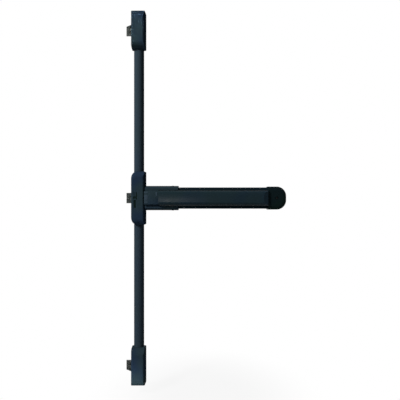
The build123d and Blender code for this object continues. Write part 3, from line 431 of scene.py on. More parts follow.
@dataclass(frozen=True)
class BareMetal:
    """A metal surface with lines, stains and, on some pieces, a rubbed end."""

    name: str
    colour: Colour
    second: Colour
    roughness: tuple[float, float]
    line_scale: Point
    line_depth: float
    patch_size: float = 40.0
    patch_spread: float = 0.15
    rubbed: Colour | None = None
    rubbed_from: float = 0.0
    rubbed_to: float = 0.0
    rubbed_breakup: float = 0.008
    relief: float = 0.5

    def make(self, groups: ShaderGroups) -> bpy.types.Material:
        """Builds the material.

        Args:
            groups: The shared shader effects.

        Returns:
            The material.
        """
        dresser = Dresser(self.name)
        lines = dresser.group(groups.brushed, dresser.stretched(self.line_scale))
        patches = dresser.group(groups.mottle, dresser.place, Size=self.patch_size, Spread=self.patch_spread)
        colour = dresser.blend_colours(patches.outputs["Mask"], self.colour, self.second)
        if self.rubbed is not None:
            ends = dresser.group(
                groups.rubbed,
                dresser.place,
                Start=self.rubbed_from,
                End=self.rubbed_to,
                Breakup=self.rubbed_breakup,
            )
            colour = dresser.lay_colour(ends.outputs["Mask"], colour, self.rubbed)
        dresser.tree.links.new(colour, dresser.shader.inputs["Base Color"])
        dresser.vary(lines.outputs["Mask"], "Roughness", *self.roughness)
        dresser.shader.inputs["Metallic"].default_value = 1.0
        dresser.bump(lines.outputs["Height"], self.line_depth, self.relief)
        return dresser.material


class Finishes:
    """Every finish of the device, by the record's slot name or by a name of its own."""

    case = Coating("case_powder", (0.02, 0.037, 0.068), (0.028, 0.048, 0.058), (0.75, 0.85), 0.0, 900.0, 0.00006)
    # A lighter copy of the case powder on the rod covers: painted highlight for the sheen down their rounded fronts.
    cover = Coating("rod_cover_lit_powder", (0.034, 0.053, 0.074), (0.036, 0.056, 0.07), (0.75, 0.85), 0.0, 900.0, 0.00006)
    # A lighter copy of the case powder for the front block's bars: painted highlight where they catch the light.
    bar_highlight = Coating("block_bar_highlight_paint", (0.036, 0.062, 0.088), (0.042, 0.066, 0.09), (0.5, 0.6), 0.04, 900.0, 0.00003)
    rail = Coating("rail_powder", (0.012, 0.025, 0.034), (0.012, 0.022, 0.028), (0.75, 0.85), 0.0, 900.0, 0.00005)
    pad = Coating("pad_powder", (0.012, 0.027, 0.041), (0.014, 0.03, 0.037), (0.24, 0.3), 0.04, 900.0, 0.00004)
    cap = Coating("cap_moulding", (0.005, 0.012, 0.014), (0.005, 0.014, 0.01), (0.6, 0.7), 0.03, 1600.0, 0.00008)
    nylon = Coating("guide_nylon", (0.02, 0.02, 0.021), (0.025, 0.025, 0.025), (0.45, 0.6), 0.35, 1200.0, 0.00005)
    black = Coating("screw_black", (0.008, 0.009, 0.01), (0.014, 0.014, 0.015), (0.35, 0.45), 0.12, 2000.0, 0.00002)
    latch = BareMetal(
        "latch_ground",
        (0.01, 0.013, 0.012),
        (0.058, 0.066, 0.062),
        (0.3, 0.5),
        (40.0, 900.0, 260.0),
        0.00004,
        patch_size=170.0,
        rubbed=(0.062, 0.067, 0.065),
        rubbed_from=-0.046,
        rubbed_to=-0.053,
    )
    plate = BareMetal(
        "zinc_plated", (0.42, 0.43, 0.44), (0.5, 0.49, 0.45), (0.3, 0.42), (500.0, 500.0, 60.0), 0.00002
    )
    phosphate = BareMetal(
        "phosphated", (0.03, 0.03, 0.032), (0.045, 0.044, 0.042), (0.5, 0.65), (500.0, 500.0, 500.0), 0.00003
    )
    # Die-cast zinc made far darker than bare zinc, so the parts seen through the centre cover's slot look black:
    # painted shade.
    zinc = BareMetal(
        "die_cast_shaded", (0.08, 0.082, 0.085), (0.12, 0.12, 0.12), (0.5, 0.65), (600.0, 600.0, 600.0), 0.00006
    )
    rod = BareMetal(
        "drawn_steel", (0.5, 0.5, 0.5), (0.56, 0.56, 0.54), (0.22, 0.34), (900.0, 900.0, 20.0), 0.00002
    )
    spring = BareMetal(
        "spring_wire", (0.35, 0.36, 0.37), (0.45, 0.45, 0.44), (0.25, 0.4), (900.0, 900.0, 900.0), 0.00001
    )

    def __init__(self, groups: ShaderGroups) -> None:
        """Builds each finish once.

        Args:
            groups: The shared shader effects.
        """
        makers = {
            "case_paint": self.case,
            "rod_cover_lit_paint": self.cover,
            "block_bar_highlight_paint": self.bar_highlight,
            "rail_paint": self.rail,
            "pad_paint": self.pad,
            "cap_plastic": self.cap,
            "guide_plastic": self.nylon,
            "latch_metal": self.latch,
            "plate_steel": self.plate,
            "dark_steel": self.phosphate,
            "cast_zinc": self.zinc,
            "rod_steel": self.rod,
            "spring_steel": self.spring,
            "screw_black": self.black,
        }
        self.by_slot = {slot: maker.make(groups) for slot, maker in makers.items()}

    def dress(self, piece: bpy.types.Object, slot: str) -> None:
        """Gives a piece one finish all over, by its slot name."""
        piece.data.materials.clear()
        piece.data.materials.append(self.by_slot[slot])


class Bench:
    """Modelling steps that every new piece goes through. Edges under smooth_below degrees shade smooth."""

    smooth_below = 35.0

    def __init__(self, finishes: Finishes) -> None:
        """Sets out the bench with the finishes that pieces are dressed in."""
        self.finishes = finishes

    @staticmethod
    def clear() -> None:
        """Deselects everything, outside edit mode."""
        if bpy.context.object and bpy.context.object.mode != "OBJECT":
            bpy.ops.object.mode_set(mode="OBJECT")
        bpy.ops.object.select_all(action="DESELECT")

    @staticmethod
    def freeze() -> None:
        """Applies the active piece's place, turn and scale to its mesh."""
        bpy.ops.object.transform_apply(location=True, rotation=True, scale=True)

    @staticmethod
    def edit_all() -> None:
        """Opens the active piece in edit mode, selected all over."""
        bpy.ops.object.mode_set(mode="EDIT")
        bpy.ops.mesh.select_all(action="SELECT")

    def pick(self, piece: bpy.types.Object) -> None:
        """Selects one piece and makes it active, with nothing else selected.

        Args:
            piece: The piece to select.
        """
        self.clear()
        piece.select_set(True)
        bpy.context.view_layer.objects.active = piece

    def raise_rings(self, name: str, rings: list[tuple[float, float]], sides: int) -> bpy.types.Object:
        """Raises a round piece from a disc, one extrusion for each ring.

        Args:
            name: The piece's name.
            rings: Each ring's radius and height, from the lowest up.
            sides: The number of sides.

        Returns:
            The closed piece, about the Z axis.
        """
        self.clear()
        radius, height = rings[0]
        bpy.ops.mesh.primitive_circle_add(vertices=sides, radius=radius, fill_type="NGON", location=(0.0, 0.0, height))
        piece = bpy.context.object
        piece.name = name
        self.freeze()
        bpy.ops.object.mode_set(mode="EDIT")
        bpy.ops.mesh.select_mode(type="FACE")
        bpy.ops.mesh.select_all(action="SELECT")
        for wide, high in rings[1:]:
            bpy.ops.mesh.extrude_region_move(TRANSFORM_OT_translate={"value": (0.0, 0.0, high - height)})
            bpy.ops.transform.resize(value=(wide / radius, wide / radius, 1.0), center_override=(0.0, 0.0, high))
            radius, height = wide, high
        bpy.ops.object.mode_set(mode="OBJECT")
        return piece

    def start_block(self, name: str, low: Vector, high: Vector) -> bpy.types.Object:
        """Starts a piece from a block between two corners.

        Args:
            name: The piece's name.
            low: The lowest corner.
            high: The highest corner.

        Returns:
            The new piece, selected and active.
        """
        self.clear()
        bpy.ops.mesh.primitive_cube_add(size=1.0, location=(low + high) / 2)
        piece = bpy.context.object
        piece.name = name
        piece.scale = high - low
        self.freeze()
        return piece

    @staticmethod
    def select(piece: bpy.types.Object, kind: Element, wanted: Callable[[Vector, Vector], bool]) -> None:
        """Selects some faces or edges, and stays in edit mode.

        Args:
            piece: The active piece, in either mode.
            kind: Whether faces or edges are selected.
            wanted: Says if one is wanted, from a face's centre and normal or from an edge's two ends.
        """
        bpy.ops.object.mode_set(mode="EDIT")
        bpy.ops.mesh.select_mode(type=kind.value)
        bpy.ops.mesh.select_all(action="DESELECT")
        bpy.ops.object.mode_set(mode="OBJECT")
        mesh = piece.data
        if kind is Element.FACE:
            for face in mesh.polygons:
                face.select = wanted(face.center, face.normal)
        else:
            for edge in mesh.edges:
                first, second = edge.vertices
                edge.select = wanted(mesh.vertices[first].co, mesh.vertices[second].co)
        bpy.ops.object.mode_set(mode="EDIT")

    @staticmethod
    def apply_modifier(piece: bpy.types.Object, kind: str, **settings: object) -> None:
        """Adds a modifier and applies it.

        Args:
            piece: The active piece.
            kind: The modifier's type.
            settings: The modifier's own settings.
        """
        bpy.ops.object.mode_set(mode="OBJECT")
        modifier = piece.modifiers.new(kind.lower(), kind)
        for label, value in settings.items():
            setattr(modifier, label, value)
        bpy.ops.object.modifier_apply(modifier=modifier.name)

    def join(self, pieces: list[bpy.types.Object], name: str) -> bpy.types.Object:
        """Joins several meshes into one piece.

        Args:
            pieces: The meshes.
            name: The joined piece's name.

        Returns:
            The joined piece.
        """
        self.clear()
        for piece in pieces:
            piece.select_set(True)
        bpy.context.view_layer.objects.active = pieces[0]
        bpy.ops.object.join()
        pieces[0].name = name
        return pieces[0]

    def copy(self, piece: bpy.types.Object, name: str) -> bpy.types.Object:
        """Copies a piece with a mesh of its own.

        Args:
            piece: The piece to copy.
            name: The copy's name.

        Returns:
            The copy.
        """
        twin = piece.copy()
        twin.data = piece.data.copy()
        twin.name = name
        bpy.context.collection.objects.link(twin)
        return twin

    def place(self, piece: bpy.types.Object, location: Point, rotation: Point = (0.0, 0.0, 0.0)) -> None:
        """Moves and turns a finished mesh to its place, and applies it.

        Args:
            piece: The piece.
            location: Where its own origin goes.
            rotation: Its turns about X, Y and Z.
        """
        self.pick(piece)
        piece.location = location
        piece.rotation_euler = rotation
        self.freeze()

    def hand_over(self, piece: bpy.types.Object, slot: str, body: str, nodes: tuple[str, ...]) -> None:
        """Closes a piece: normals, shading, the finish of its slot, its body, and hiding the nodes that it stands for.

        Args:
            piece: The piece.
            slot: The record's slot name.
            body: The body that it rides on.
            nodes: The nodes that it replaces.
        """
        self.pick(piece)
        self.edit_all()
        bpy.ops.mesh.normals_make_consistent(inside=False)
        bpy.ops.object.mode_set(mode="OBJECT")
        bpy.ops.object.shade_smooth_by_angle(angle=math.radians(self.smooth_below))
        self.finishes.dress(piece, slot)
        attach(piece, body)
        if nodes:
            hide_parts(*nodes)
        LOG.info("%s rides on %s, %d faces", piece.name, body, len(piece.data.polygons))


@dataclass
class FrontBlock:
    """The raised cover between the case and the pad, with moulded bars on its face."""

    wall: float = 0.002
    edge_radius: float = 0.004
    edge_segments: int = 6
    rim: float = 0.0003
    rim_segments: int = 2
    bar_rise: float = 0.0006
    bar_sink: float = 0.0004
    left_bars: tuple[tuple[float, float], ...] = ((0.0192, 0.0248), (-0.0122, 0.0118), (-0.0196, -0.0134))
    left_from: float = 0.0012
    left_to: float = 0.0152
    strip_from: float = 0.005
    strip_to: float = 0.0112
    strip_low: float = 0.0072
    strip_high: float = 0.0235

    def build(self, bench: Bench) -> None:
        """Models the block and its bars.

        Args:
            bench: The modelling bench.
        """
        low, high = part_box("front_block")
        face = low.y + self.bar_rise
        self.build_shell(bench, Vector((low.x, face, low.z)), high)
        bars = [(low.x + self.left_from, low.x + self.left_to, *bar) for bar in self.left_bars]
        bars.append((high.x - self.strip_to, high.x - self.strip_from, self.strip_low, self.strip_high))
        self.build_bars(bench, bars, face)

    def build_shell(self, bench: Bench, low: Vector, high: Vector) -> None:
        """Models the block as a moulded shell, open at the back.

        Args:
            bench: The modelling bench.
            low: The shell's lowest corner.
            high: The shell's highest corner.
        """
        piece = bench.start_block("front_block_moulding", low, high)
        near = self.edge_radius / 2
        bench.select(piece, Element.EDGE, lambda a, b: max(a.y, b.y) < low.y + near and abs(a.z - b.z) < near)
        bpy.ops.mesh.bevel(offset=self.edge_radius, segments=self.edge_segments, affect="EDGES")
        bench.select(piece, Element.FACE, lambda centre, normal: normal.y > FACING)
        bpy.ops.mesh.delete(type="FACE")
        bench.apply_modifier(piece, "SOLIDIFY", thickness=self.wall, offset=-1.0)
        bench.apply_modifier(piece, "BEVEL", width=self.rim, segments=self.rim_segments, limit_method="ANGLE")
        bench.hand_over(piece, "case_paint", "root", ("front_block",))

    def build_bars(self, bench: Bench, bars: list[tuple[float, float, float, float]], face: float) -> None:
        """Models the low bars that stand on the block's face, in a lighter copy of the case paint as painted highlight.

        Args:
            bench: The modelling bench.
            bars: Each bar's range in X and in Z.
            face: The face's place in Y.
        """
        made = []
        for x0, x1, z0, z1 in bars:
            low = Vector((x0, face - self.bar_rise, z0))
            bar = bench.start_block("bar", low, Vector((x1, face + self.bar_sink, z1)))
            bench.select(bar, Element.FACE, lambda centre, normal: normal.y < -FACING)
            bpy.ops.mesh.bevel(offset=self.rim, segments=self.rim_segments, affect="EDGES")
            bpy.ops.object.mode_set(mode="OBJECT")
            made.append(bar)
        piece = bench.join(made, "front_block_bars")
        bench.hand_over(piece, "case_paint", "root", ())
        # The bars take the lighter copy of the case paint: painted highlight.
        bench.finishes.dress(piece, "block_bar_highlight_paint")


@dataclass
class CaseFace:
    """The centre case's cover with sunk marks in its face, each over a dark sheet of painted shade."""

    depth: float = 0.0015
    # The dark sheet of painted shade in each mark is floor thick and sinks seat into the cover.
    floor: float = 0.0004
    seat: float = 0.0001
    corner: float = 0.0008
    corner_segments: int = 3
    weld: float = 0.00001
    flat_weight: int = 100
    marks: tuple[tuple[float, float, float, float], ...] = (
        (-0.0052, -0.0014, -0.0062, 0.0236),
        (-0.0172, -0.0058, -0.0026, 0.0068),
        (-0.0139, -0.0058, -0.0392, -0.0078),
        (-0.0146, -0.0118, 0.0076, 0.0232),
    )

    def build(self, bench: Bench) -> None:
        """Cuts the marks in a copy of the cover and lays a dark sheet of painted shade in each.

        Args:
            bench: The modelling bench.
        """
        node = "centre_cover"
        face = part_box(node)[0].y
        piece = bench.copy(frame["nodes"][node], "centre_case_cover")
        bench.pick(piece)
        bench.edit_all()
        bpy.ops.mesh.remove_doubles(threshold=self.weld)
        shade_sheets = []
        for x0, x1, z0, z1 in self.marks:
            bottom = face + self.depth
            blade = self.rounded_block(bench, "mark", Vector((x0, face - self.depth, z0)), Vector((x1, bottom, z1)))
            low = Vector((x0, bottom - self.floor, z0))
            # A dark sheet at the mark's bottom: painted shade.
            shade_sheets.append(self.rounded_block(bench, "floor", low, Vector((x1, bottom + self.seat, z1))))
            bench.pick(piece)
            bench.apply_modifier(piece, "BOOLEAN", object=blade, operation="DIFFERENCE", solver="EXACT")
            bpy.data.objects.remove(blade)
        bench.hand_over(piece, "case_paint", "root", (node,))
        bench.apply_modifier(piece, "WEIGHTED_NORMAL", mode="FACE_AREA", weight=self.flat_weight, keep_sharp=True)
        # The dark sheets take the cap's near-black plastic as painted shade.
        bench.hand_over(bench.join(shade_sheets, "centre_case_mark_painted_shade"), "cap_plastic", "root", ())

    def rounded_block(self, bench: Bench, name: str, low: Vector, high: Vector) -> bpy.types.Object:
        """Models a block whose corners are round, seen from the front.

        Args:
            bench: The modelling bench.
            name: The block's name.
            low: Its lowest corner.
            high: Its highest corner.

        Returns:
            The block.
        """
        piece = bench.start_block(name, low, high)
        bench.select(piece, Element.EDGE, lambda a, b: abs(a.y - b.y) > (high.y - low.y) / 2)
        bpy.ops.mesh.bevel(offset=self.corner, segments=self.corner_segments, affect="EDGES")
        bpy.ops.object.mode_set(mode="OBJECT")
        return piece


@dataclass
class CoilSpring:
    """A compression spring with a closed turn at each end, wound up from Z = 0."""

    length: float
    radius: float
    wire: float
    turns: int
    ring: int = 8
    steps: int = 20
    weld_share: float = 0.01

    def section(self, bench: Bench, start: float, pitch: float, turns: int) -> bpy.types.Object:
        """Winds part of the spring.

        Args:
            bench: The modelling bench.
            start: The height of the wire's middle at its start.
            pitch: The rise in each turn.
            turns: The number of turns.

        Returns:
            The wound tube.
        """
        bench.clear()
        bpy.ops.mesh.primitive_circle_add(
            vertices=self.ring,
            radius=self.wire,
            location=(self.radius, 0.0, start),
            rotation=(math.pi / 2, 0.0, 0.0),
        )
        piece = bpy.context.object
        bench.freeze()
        bench.apply_modifier(
            piece,
            "SCREW",
            axis="Z",
            screw_offset=pitch,
            iterations=turns,
            steps=self.steps,
            render_steps=self.steps,
            use_smooth_shade=True,
        )
        return piece

    def wind(self, bench: Bench, name: str) -> bpy.types.Object:
        """Winds the whole spring and closes its ends.

        Args:
            bench: The modelling bench.
            name: The piece's name.

        Returns:
            The spring at the origin.
        """
        closed = 2 * self.wire
        active = self.length - 2 * self.wire - 2 * closed
        turns = self.turns - 2
        parts = [
            self.section(bench, self.wire, closed, 1),
            self.section(bench, self.wire + closed, active / turns, turns),
            self.section(bench, self.wire + closed + active, closed, 1),
        ]
        piece = bench.join(parts, name)
        bench.edit_all()
        bpy.ops.mesh.remove_doubles(threshold=self.wire * self.weld_share)
        bpy.ops.mesh.select_mode(type="EDGE")
        bpy.ops.mesh.select_all(action="DESELECT")
        bpy.ops.mesh.select_non_manifold()
        bpy.ops.mesh.fill_holes(sides=0)
        bpy.ops.object.mode_set(mode="OBJECT")
        return piece


@dataclass
class Springs:
    """All the device's springs, each wound to the length of its node."""

    pad_spring: float = 0.0055
    pad_wire: float = 0.0009
    pad_turns: int = 10
    latch_spring: float = 0.003
    latch_wire: float = 0.0005
    latch_turns: int = 12
    tongue_spring: float = 0.003
    tongue_wire: float = 0.0004
    tongue_turns: int = 7

    @staticmethod
    def travel(joint: str) -> float:
        """How far the sliding joint of this name goes, in metres."""
        found = next(j for j in frame["joints"] if j["name"] == joint)
        return found["range_m"][1]

    def build(self, bench: Bench) -> None:
        """Winds and places every spring.

        Args:
            bench: The modelling bench.
        """
        self.build_pad_springs(bench)
        for case in ("centre", "upper", "lower"):
            self.build_latch_springs(bench, case)
        self.build_tongue_spring(bench)

    def build_pad_springs(self, bench: Bench) -> None:
        """The four springs between the rail and the pad.

        Args:
            bench: The modelling bench.
        """
        node = "pad_return_springs"
        low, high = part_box(node)
        reach = self.pad_spring + self.pad_wire
        length = high.y - low.y
        first = CoilSpring(length, self.pad_spring, self.pad_wire, self.pad_turns).wind(bench, "pad_spring_1")
        spots = [(x, z) for x in (low.x + reach, high.x - reach) for z in (low.z + reach, high.z - reach)]
        springs = [first] + [bench.copy(first, f"pad_spring_{i}") for i in range(2, len(spots) + 1)]
        for spring, (x, z) in zip(springs, spots):
            bench.place(spring, (x, high.y, z), (math.pi / 2, 0.0, 0.0))
            bench.hand_over(spring, "spring_steel", "root", (node,))
            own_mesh(spring)

    def build_latch_springs(self, bench: Bench, case: str) -> None:
        """The pair of springs behind one latch.

        Args:
            bench: The modelling bench.
            case: The case's name.
        """
        node, joint = f"{case}_latch_springs", f"{case}_latch_draw"
        low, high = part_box(node)
        reach = self.latch_spring + self.latch_wire
        length = high.x - low.x
        middle = (low.y + high.y) / 2
        first = CoilSpring(length, self.latch_spring, self.latch_wire, self.latch_turns).wind(
            bench, f"{case}_latch_spring_1"
        )
        springs = [first, bench.copy(first, f"{case}_latch_spring_2")]
        for spring, z in zip(springs, (low.z + reach, high.z - reach)):
            bench.place(spring, (low.x, middle, z), (0.0, math.pi / 2, 0.0))
            bench.hand_over(spring, "spring_steel", "root", (node,))
            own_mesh(spring)

    def build_tongue_spring(self, bench: Bench) -> None:
        """The small spring behind the deadlatch tongue.

        Args:
            bench: The modelling bench.
        """
        node = "deadlatch_spring"
        low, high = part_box(node)
        length = high.x - low.x
        middle = (low + high) / 2
        spring = CoilSpring(length, self.tongue_spring, self.tongue_wire, self.tongue_turns).wind(
            bench, "tongue_spring"
        )
        bench.place(spring, (low.x, middle.y, middle.z), (0.0, math.pi / 2, 0.0))
        bench.hand_over(spring, "spring_steel", "centre_latch", (node,))
        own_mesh(spring)


@dataclass(frozen=True)
class CrossRecess:
    """A cross recess: how far its arms reach, half an arm's width, and its depth."""

    reach: float
    half: float
    depth: float
    taper: float = 0.7


@dataclass
class PanScrew:
    """A screw with a cross recess, its seat at Z = 0. Its dome is in shares of the head's radius and height."""

    head_radius: float
    head_height: float
    shank_radius: float
    length: float
    recess: CrossRecess
    sides: int = 32
    tip: float = 0.6
    dome: tuple[tuple[float, float], ...] = ((1.0, 0.0), (1.0, 0.45), (0.94, 0.7), (0.8, 0.9), (0.5, 1.0))
    blade_height: float = 1.5

    def turn(self, bench: Bench, name: str) -> bpy.types.Object:
        """Raises the screw ring by ring and cuts its recess.

        Args:
            bench: The modelling bench.
            name: The piece's name.

        Returns:
            The screw at the origin.
        """
        rings = [
            (self.shank_radius * self.tip, -self.length),
            (self.shank_radius, self.shank_radius * self.tip - self.length),
            (self.shank_radius, 0.0),
        ]
        rings += [(self.head_radius * wide, self.head_height * high) for wide, high in self.dome]
        piece = bench.raise_rings(name, rings, self.sides)
        reach, half = self.recess.reach, self.recess.half
        floor, above = self.head_height - self.recess.depth, self.head_height * self.blade_height
        for along, across in ((reach, half), (half, reach)):
            blade = bench.start_block("recess", Vector((-along, -across, floor)), Vector((along, across, above)))
            bench.select(blade, Element.FACE, lambda centre, normal: normal.z < -FACING)
            bpy.ops.transform.resize(value=(self.recess.taper, self.recess.taper, 1.0))
            bpy.ops.object.mode_set(mode="OBJECT")
            bench.pick(piece)
            bench.apply_modifier(piece, "BOOLEAN", object=blade, operation="DIFFERENCE", solver="EXACT")
            bpy.data.objects.remove(blade)
        return piece


@dataclass
class Screws:
    """The device's visible screws. Their turns are in radians: for the covers, the first one and the step."""

    cover_head: float = 0.0035
    cover_rise: float = 0.002
    cover_shank: float = 0.0019
    cover_length: float = 0.0078
    cover_recess: CrossRecess = CrossRecess(0.0017, 0.00035, 0.0012)
    cover_turns: tuple[float, float] = (0.5, 0.9)
    centre_inset: float = 0.028
    end_inset: float = 0.024
    rail_head: float = 0.0036
    rail_rise: float = 0.0016
    rail_bite: float = 0.0038
    rail_recess: CrossRecess = CrossRecess(0.0018, 0.00035, 0.001)
    rail_turn: float = 0.3
    cap_head: float = 0.0042
    cap_rise: float = 0.003
    cap_shank: float = 0.0019
    cap_length: float = 0.0158
    cap_recess: CrossRecess = CrossRecess(0.0024, 0.0005, 0.0016)
    cap_turn: float = 0.4

    def build(self, bench: Bench) -> None:
        """Models one screw of each kind and copies it to its places.

        Args:
            bench: The modelling bench.
        """
        self.build_cover_screws(bench)
        self.build_rail_screws(bench)
        self.build_cap_screw(bench)

    def build_cover_screws(self, bench: Bench) -> None:
        """The six side screws of the case covers.

        Args:
            bench: The modelling bench.
        """
        node = "case_cover_screws"
        low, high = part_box(node)
        seat = high.x - self.cover_rise
        middle = (low.y + high.y) / 2
        heights = []
        for cover, inset in (
            ("centre_cover", self.centre_inset),
            ("upper_cover", self.end_inset),
            ("lower_cover", self.end_inset),
        ):
            bottom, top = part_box(cover)
            heights += [bottom.z + inset, top.z - inset]
        screw = PanScrew(self.cover_head, self.cover_rise, self.cover_shank, self.cover_length, self.cover_recess)
        first = screw.turn(bench, "cover_screw_1")
        screws = [first] + [bench.copy(first, f"cover_screw_{i}") for i in range(2, len(heights) + 1)]
        first_turn, turn_step = self.cover_turns
        for count, (piece, z) in enumerate(zip(screws, heights)):
            bench.place(piece, (0.0, 0.0, 0.0), (0.0, 0.0, first_turn + turn_step * count))
            bench.place(piece, (seat, middle, z), (0.0, math.pi / 2, 0.0))
            bench.hand_over(piece, "screw_black", "root", (node,))

    def build_rail_screws(self, bench: Bench) -> None:
        """The two screws that hold the bracket on the rail.

        Args:
            bench: The modelling bench.
        """
        node = "rail_screws"
        low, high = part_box(node)
        middle = (low + high) / 2
        seat = high.z - self.rail_rise
        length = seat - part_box("rail")[1].z + self.rail_bite
        screw = PanScrew(self.rail_head, self.rail_rise, self.cover_shank, length, self.rail_recess)
        top = screw.turn(bench, "rail_screw_top")
        bottom = bench.copy(top, "rail_screw_bottom")
        bench.place(top, (middle.x, middle.y, seat))
        bench.place(bottom, (middle.x, middle.y, -seat), (math.pi, 0.0, self.rail_turn))
        for piece in (top, bottom):
            bench.hand_over(piece, "screw_black", "root", (node,))

    def build_cap_screw(self, bench: Bench) -> None:
        """The end cap's sunk screw.

        Args:
            bench: The modelling bench.
        """
        node = "end_cap_screw"
        low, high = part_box(node)
        middle = (low + high) / 2
        screw = PanScrew(self.cap_head, self.cap_rise, self.cap_shank, self.cap_length, self.cap_recess)
        piece = screw.turn(bench, "cap_screw")
        bench.place(piece, (middle.x, low.y + self.cap_rise, middle.z), (math.pi / 2, self.cap_turn, 0.0))
        bench.hand_over(piece, "screw_black", "root", (node,))


@dataclass
class KeptNodes:
    """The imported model's own pieces, which keep their shape and get their finish."""

    finishes: Finishes
    special: tuple[tuple[str, str], ...] = (
        ("bar_base_plate", "dark_steel"),
        # The rod covers take the lighter copy of the case powder, as painted highlight.
        ("upper_rod_cover", "rod_cover_lit_paint"),
        ("lower_rod_cover", "rod_cover_lit_paint"),
    )

    def dress(self) -> None:
        """Gives each node the finish of its slot in the record, or the special one that it is given here."""
        slots = {part["node"]: part["material_slot"] for part in frame["record"]["subparts"]}
        slots.update(self.special)
        for name, node in frame["nodes"].items():
            self.finishes.dress(node, slots[name])
            LOG.info("%s keeps its shape, in %s", name, slots[name])


@dataclass(frozen=True)
class Lamp:
    """One soft rectangular lamp; its beam's spread is in degrees, and it may show in reflections alone."""

    name: str
    place: Point
    aim: Point
    size: tuple[float, float]
    power: float
    spread: float = 180.0
    sheen_only: bool = False

    def hang(self) -> None:
        """Adds the lamp to the scene, turned to what it points at."""
        data = bpy.data.lights.new(self.name, "AREA")
        data.shape = "RECTANGLE"
        data.size, data.size_y = self.size
        data.energy = self.power
        data.spread = math.radians(self.spread)
        lamp = bpy.data.objects.new(self.name, data)
        lamp.location = self.place
        lamp.rotation_euler = (Vector(self.aim) - Vector(self.place)).to_track_quat("-Z", "Y").to_euler()
        lamp.visible_diffuse = not self.sheen_only
        bpy.context.collection.objects.link(lamp)


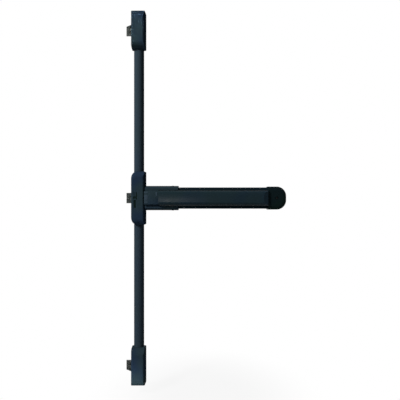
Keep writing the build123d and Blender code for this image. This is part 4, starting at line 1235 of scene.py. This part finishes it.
@dataclass
class Studio:
    """Camera, lamps, world and floor: a high key from the left, a narrow lamp for each end case, the pad's sheen."""

    camera_place: Point = (0.2508, -1.55, -0.0078)
    lens: float = 33.75
    sensor: float = 36.0
    floor_drop: float = 0.035
    floor_size: float = 9.0
    fade_from: float = 0.12
    fade_to: float = 0.5
    fade_least: float = 0.9
    floor_colour: Colour = (0.55, 0.55, 0.55)
    floor_roughness: float = 0.9
    ambient: float = 0.09
    ambient_colour: Colour = (0.9, 0.96, 1.0)
    lamps: tuple[Lamp, ...] = (
        Lamp("key", (-1.9, -1.7, 1.9), (0.2, 0.0, 0.0), (0.6, 0.6), 88.0),
        Lamp("low_case", (-0.6, -1.1, -0.66), (0.0, 0.0, -0.78), (0.16, 0.16), 0.1, spread=11.0),
        Lamp("high_case", (-0.6, -1.1, 0.66), (0.0, 0.0, 0.76), (0.16, 0.16), 0.045, spread=11.0),
        Lamp("strip", (-0.03, -1.6, -0.14), (0.12, 0.0, 0.0), (0.22, 0.12), 5.0, sheen_only=True),
    )

    def build(self) -> None:
        """Sets up everything round the device."""
        self.build_camera()
        self.build_world()
        self.build_floor()
        for lamp in self.lamps:
            lamp.hang()
        bpy.context.scene.view_settings.view_transform = "Standard"

    def build_camera(self) -> None:
        """The photograph's camera: level, square on to the door."""
        data = bpy.data.cameras.new("photo_camera")
        data.lens = self.lens
        data.sensor_width = self.sensor
        camera = bpy.data.objects.new("photo_camera", data)
        camera.location = self.camera_place
        camera.rotation_euler = (math.pi / 2, 0.0, 0.0)
        bpy.context.collection.objects.link(camera)
        bpy.context.scene.camera = camera

    @staticmethod
    def seen_rays(tree: bpy.types.NodeTree) -> bpy.types.NodeSocket:
        """A mask of the rays that see the background: camera, glossy and transmission.

        Args:
            tree: The node tree to build in.

        Returns:
            The mask.
        """
        path = tree.nodes.new("ShaderNodeLightPath")
        first = tree.nodes.new("ShaderNodeMath")
        first.operation = "MAXIMUM"
        second = tree.nodes.new("ShaderNodeMath")
        second.operation = "MAXIMUM"
        wire(
            tree,
            (path, "Is Camera Ray", first, 0),
            (path, "Is Glossy Ray", first, 1),
            (first, "Value", second, 0),
            (path, "Is Transmission Ray", second, 1),
        )
        return second.outputs["Value"]

    def build_world(self) -> None:
        """White where it is seen, and a dim even light elsewhere."""
        world = bpy.data.worlds.new("studio")
        bpy.context.scene.world = world
        world.use_nodes = True
        tree = world.node_tree
        tree.nodes.clear()
        dim = tree.nodes.new("ShaderNodeBackground")
        dim.inputs["Color"].default_value = (*self.ambient_colour, 1.0)
        dim.inputs["Strength"].default_value = self.ambient
        white = tree.nodes.new("ShaderNodeBackground")
        white.inputs["Color"].default_value = (1.0, 1.0, 1.0, 1.0)
        mix = tree.nodes.new("ShaderNodeMixShader")
        out = tree.nodes.new("ShaderNodeOutputWorld")
        tree.links.new(self.seen_rays(tree), mix.inputs["Fac"])
        wire(tree, (dim, "Background", mix, 1), (white, "Background", mix, 2), (mix, "Shader", out, "Surface"))

    def build_floor(self) -> None:
        """A pale floor under the device that fades into the white."""
        low, high = CAD_BOX
        Bench.clear()
        middle = (low + high) / 2
        bpy.ops.mesh.primitive_plane_add(size=self.floor_size, location=(middle.x, middle.y, low.z - self.floor_drop))
        floor = bpy.context.object
        floor.name = "pale_floor"
        material = bpy.data.materials.new("pale_floor")
        material.use_nodes = True
        tree = material.node_tree
        shader = tree.nodes["Principled BSDF"]
        shader.inputs["Base Color"].default_value = (*self.floor_colour, 1.0)
        shader.inputs["Roughness"].default_value = self.floor_roughness
        shader.inputs["Specular IOR Level"].default_value = 0.0
        white = tree.nodes.new("ShaderNodeEmission")
        place = tree.nodes.new("ShaderNodeTexCoord")
        distance = tree.nodes.new("ShaderNodeVectorMath")
        distance.operation = "LENGTH"
        fade = tree.nodes.new("ShaderNodeMapRange")
        fade.interpolation_type = "SMOOTHSTEP"
        fade.inputs["From Min"].default_value = self.fade_from
        fade.inputs["From Max"].default_value = self.fade_to
        fade.inputs["To Min"].default_value = self.fade_least
        seen = tree.nodes.new("ShaderNodeMath")
        seen.operation = "MULTIPLY"
        mix = tree.nodes.new("ShaderNodeMixShader")
        tree.links.new(self.seen_rays(tree), seen.inputs[1])
        wire(
            tree,
            (place, "Object", distance, 0),
            (distance, "Value", fade, "Value"),
            (fade, "Result", seen, 0),
            (seen, "Value", mix, "Fac"),
            (shader, "BSDF", mix, 1),
            (white, "Emission", mix, 2),
            (mix, "Shader", tree.nodes["Material Output"], "Surface"),
        )
        floor.data.materials.append(material)


def main() -> None:
    """Builds the finishes, the pieces and the studio, in order."""
    logging.basicConfig(level=logging.INFO, format="%(message)s")
    finishes = Finishes(ShaderGroups())
    bench = Bench(finishes)
    KeptNodes(finishes).dress()
    CaseFace().build(bench)
    FrontBlock().build(bench)
    Springs().build(bench)
    Screws().build(bench)
    Studio().build()


if __name__ == "__main__":
    main()
